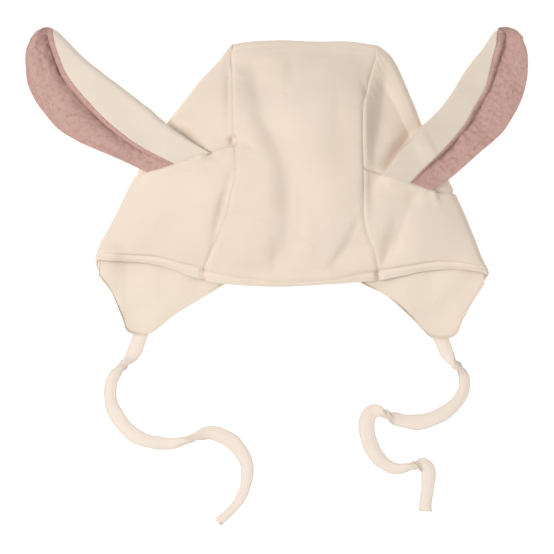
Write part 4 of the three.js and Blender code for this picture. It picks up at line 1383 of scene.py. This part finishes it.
class HAT_OT_stitches(bpy.types.Operator):
    """Lay the seam stitches and the rows that hold the ties"""
    bl_idname = "hat.stitches"
    bl_label = "Stitches"

    def execute(self, context):
        tree = stitch_tree("stitches", finish_named("thread"))
        lay_stitches("seam_stitches", seam_lines(settings_of("hat_shell")), tree,
                     spacing=0.0021, stitch_length=0.0010, thread_radius=0.00012, angle=1.35)
        for side in ("left", "right"):
            lay_stitches(f"tie_stitches_{side}", tack_lines(side), tree,
                         spacing=0.0014, stitch_length=0.0012, thread_radius=0.00013, angle=0.0)
        return {"FINISHED"}


def soft_light(name, place, width, power):
    data = bpy.data.lights.new(name, "AREA")
    data.shape = "DISK"
    data.size = width
    data.energy = power
    light = bpy.data.objects.new(name, data)
    light.location = place
    aim = Vector((0.0, -0.02, 0.0)) - light.location
    light.rotation_euler = aim.to_track_quat("-Z", "Y").to_euler()
    bpy.context.scene.collection.objects.link(light)


class HAT_OT_stage(bpy.types.Operator):
    """Add the pale floor, the sky and the soft light"""
    bl_idname = "hat.stage"
    bl_label = "Stage"

    def execute(self, context):
        s = context.scene.hat_stage
        mesh = bpy.data.meshes.new("floor")
        reach = 4.0
        corners = [(-reach, -reach, 0), (reach, -reach, 0), (reach, reach, 0), (-reach, reach, 0)]
        mesh.from_pydata(corners, [], [(0, 1, 2, 3)])
        mesh.materials.append(finish_named("floor"))
        floor = bpy.data.objects.new("floor", mesh)
        floor.location.z = -0.0002
        context.scene.collection.objects.link(floor)
        world = bpy.data.worlds.new("sky")
        world.use_nodes = True
        nodes, links = world.node_tree.nodes, world.node_tree.links
        up = nodes.new("ShaderNodeSeparateXYZ")
        links.new(nodes.new("ShaderNodeTexCoord").outputs["Generated"], up.inputs[0])
        fade = nodes.new("ShaderNodeMapRange")
        fade.interpolation_type = "SMOOTHSTEP"
        for socket, value in zip(range(1, 5), (0.0, 0.9, s.horizon, 1.0)):
            fade.inputs[socket].default_value = value
        links.new(up.outputs["Z"], fade.inputs[0])
        sky = nodes["Background"]
        links.new(fade.outputs[0], sky.inputs["Color"])
        sky.inputs["Strength"].default_value = s.sky
        context.scene.world = world
        soft_light("key_light", (-0.85, 0.08, 1.20), 0.7, s.key)
        soft_light("fill_light", (0.45, -1.10, 0.85), 0.9, s.fill)
        context.scene.view_settings.view_transform = "Standard"
        context.scene.view_settings.look = "None"
        return {"FINISHED"}


class HAT_PT_panel(bpy.types.Panel):
    bl_idname = "HAT_PT_panel"
    bl_label = "Baby hat"
    bl_space_type = "VIEW_3D"
    bl_region_type = "UI"
    bl_category = "Hat"

    def draw(self, context):
        for operator in OPERATORS:
            self.layout.operator(operator.bl_idname)
        for name in SETTINGS:
            box = self.layout.box()
            group = getattr(context.scene, name)
            for key in group.__annotations__:
                box.prop(group, key)


OPERATORS = (HAT_OT_camera, HAT_OT_ties, HAT_OT_crown_band, HAT_OT_side_panels, HAT_OT_lining,
             HAT_OT_ears, HAT_OT_stitches, HAT_OT_stage)
SETTINGS = {
    "hat_shell": HatShellSettings,
    "hat_ears": HatEarSettings,
    "hat_ties": HatTieSettings,
    "hat_colours": HatColourSettings,
    "hat_stage": HatStageSettings,
}


def register():
    for name, group in SETTINGS.items():
        bpy.utils.register_class(group)
        setattr(bpy.types.Scene, name, bpy.props.PointerProperty(type=group))
    for known in (*OPERATORS, HAT_PT_panel):
        bpy.utils.register_class(known)


def unregister():
    for known in reversed((*OPERATORS, HAT_PT_panel)):
        bpy.utils.unregister_class(known)
    for name, group in SETTINGS.items():
        delattr(bpy.types.Scene, name)
        bpy.utils.unregister_class(group)


def main():
    register()
    bpy.ops.hat.camera()
    bpy.ops.hat.ties()
    bpy.ops.hat.crown_band()
    bpy.ops.hat.side_panels()
    bpy.ops.hat.lining()
    bpy.ops.hat.ears()
    bpy.ops.hat.stitches()
    bpy.ops.hat.stage()


if __name__ == "__main__":
    main()
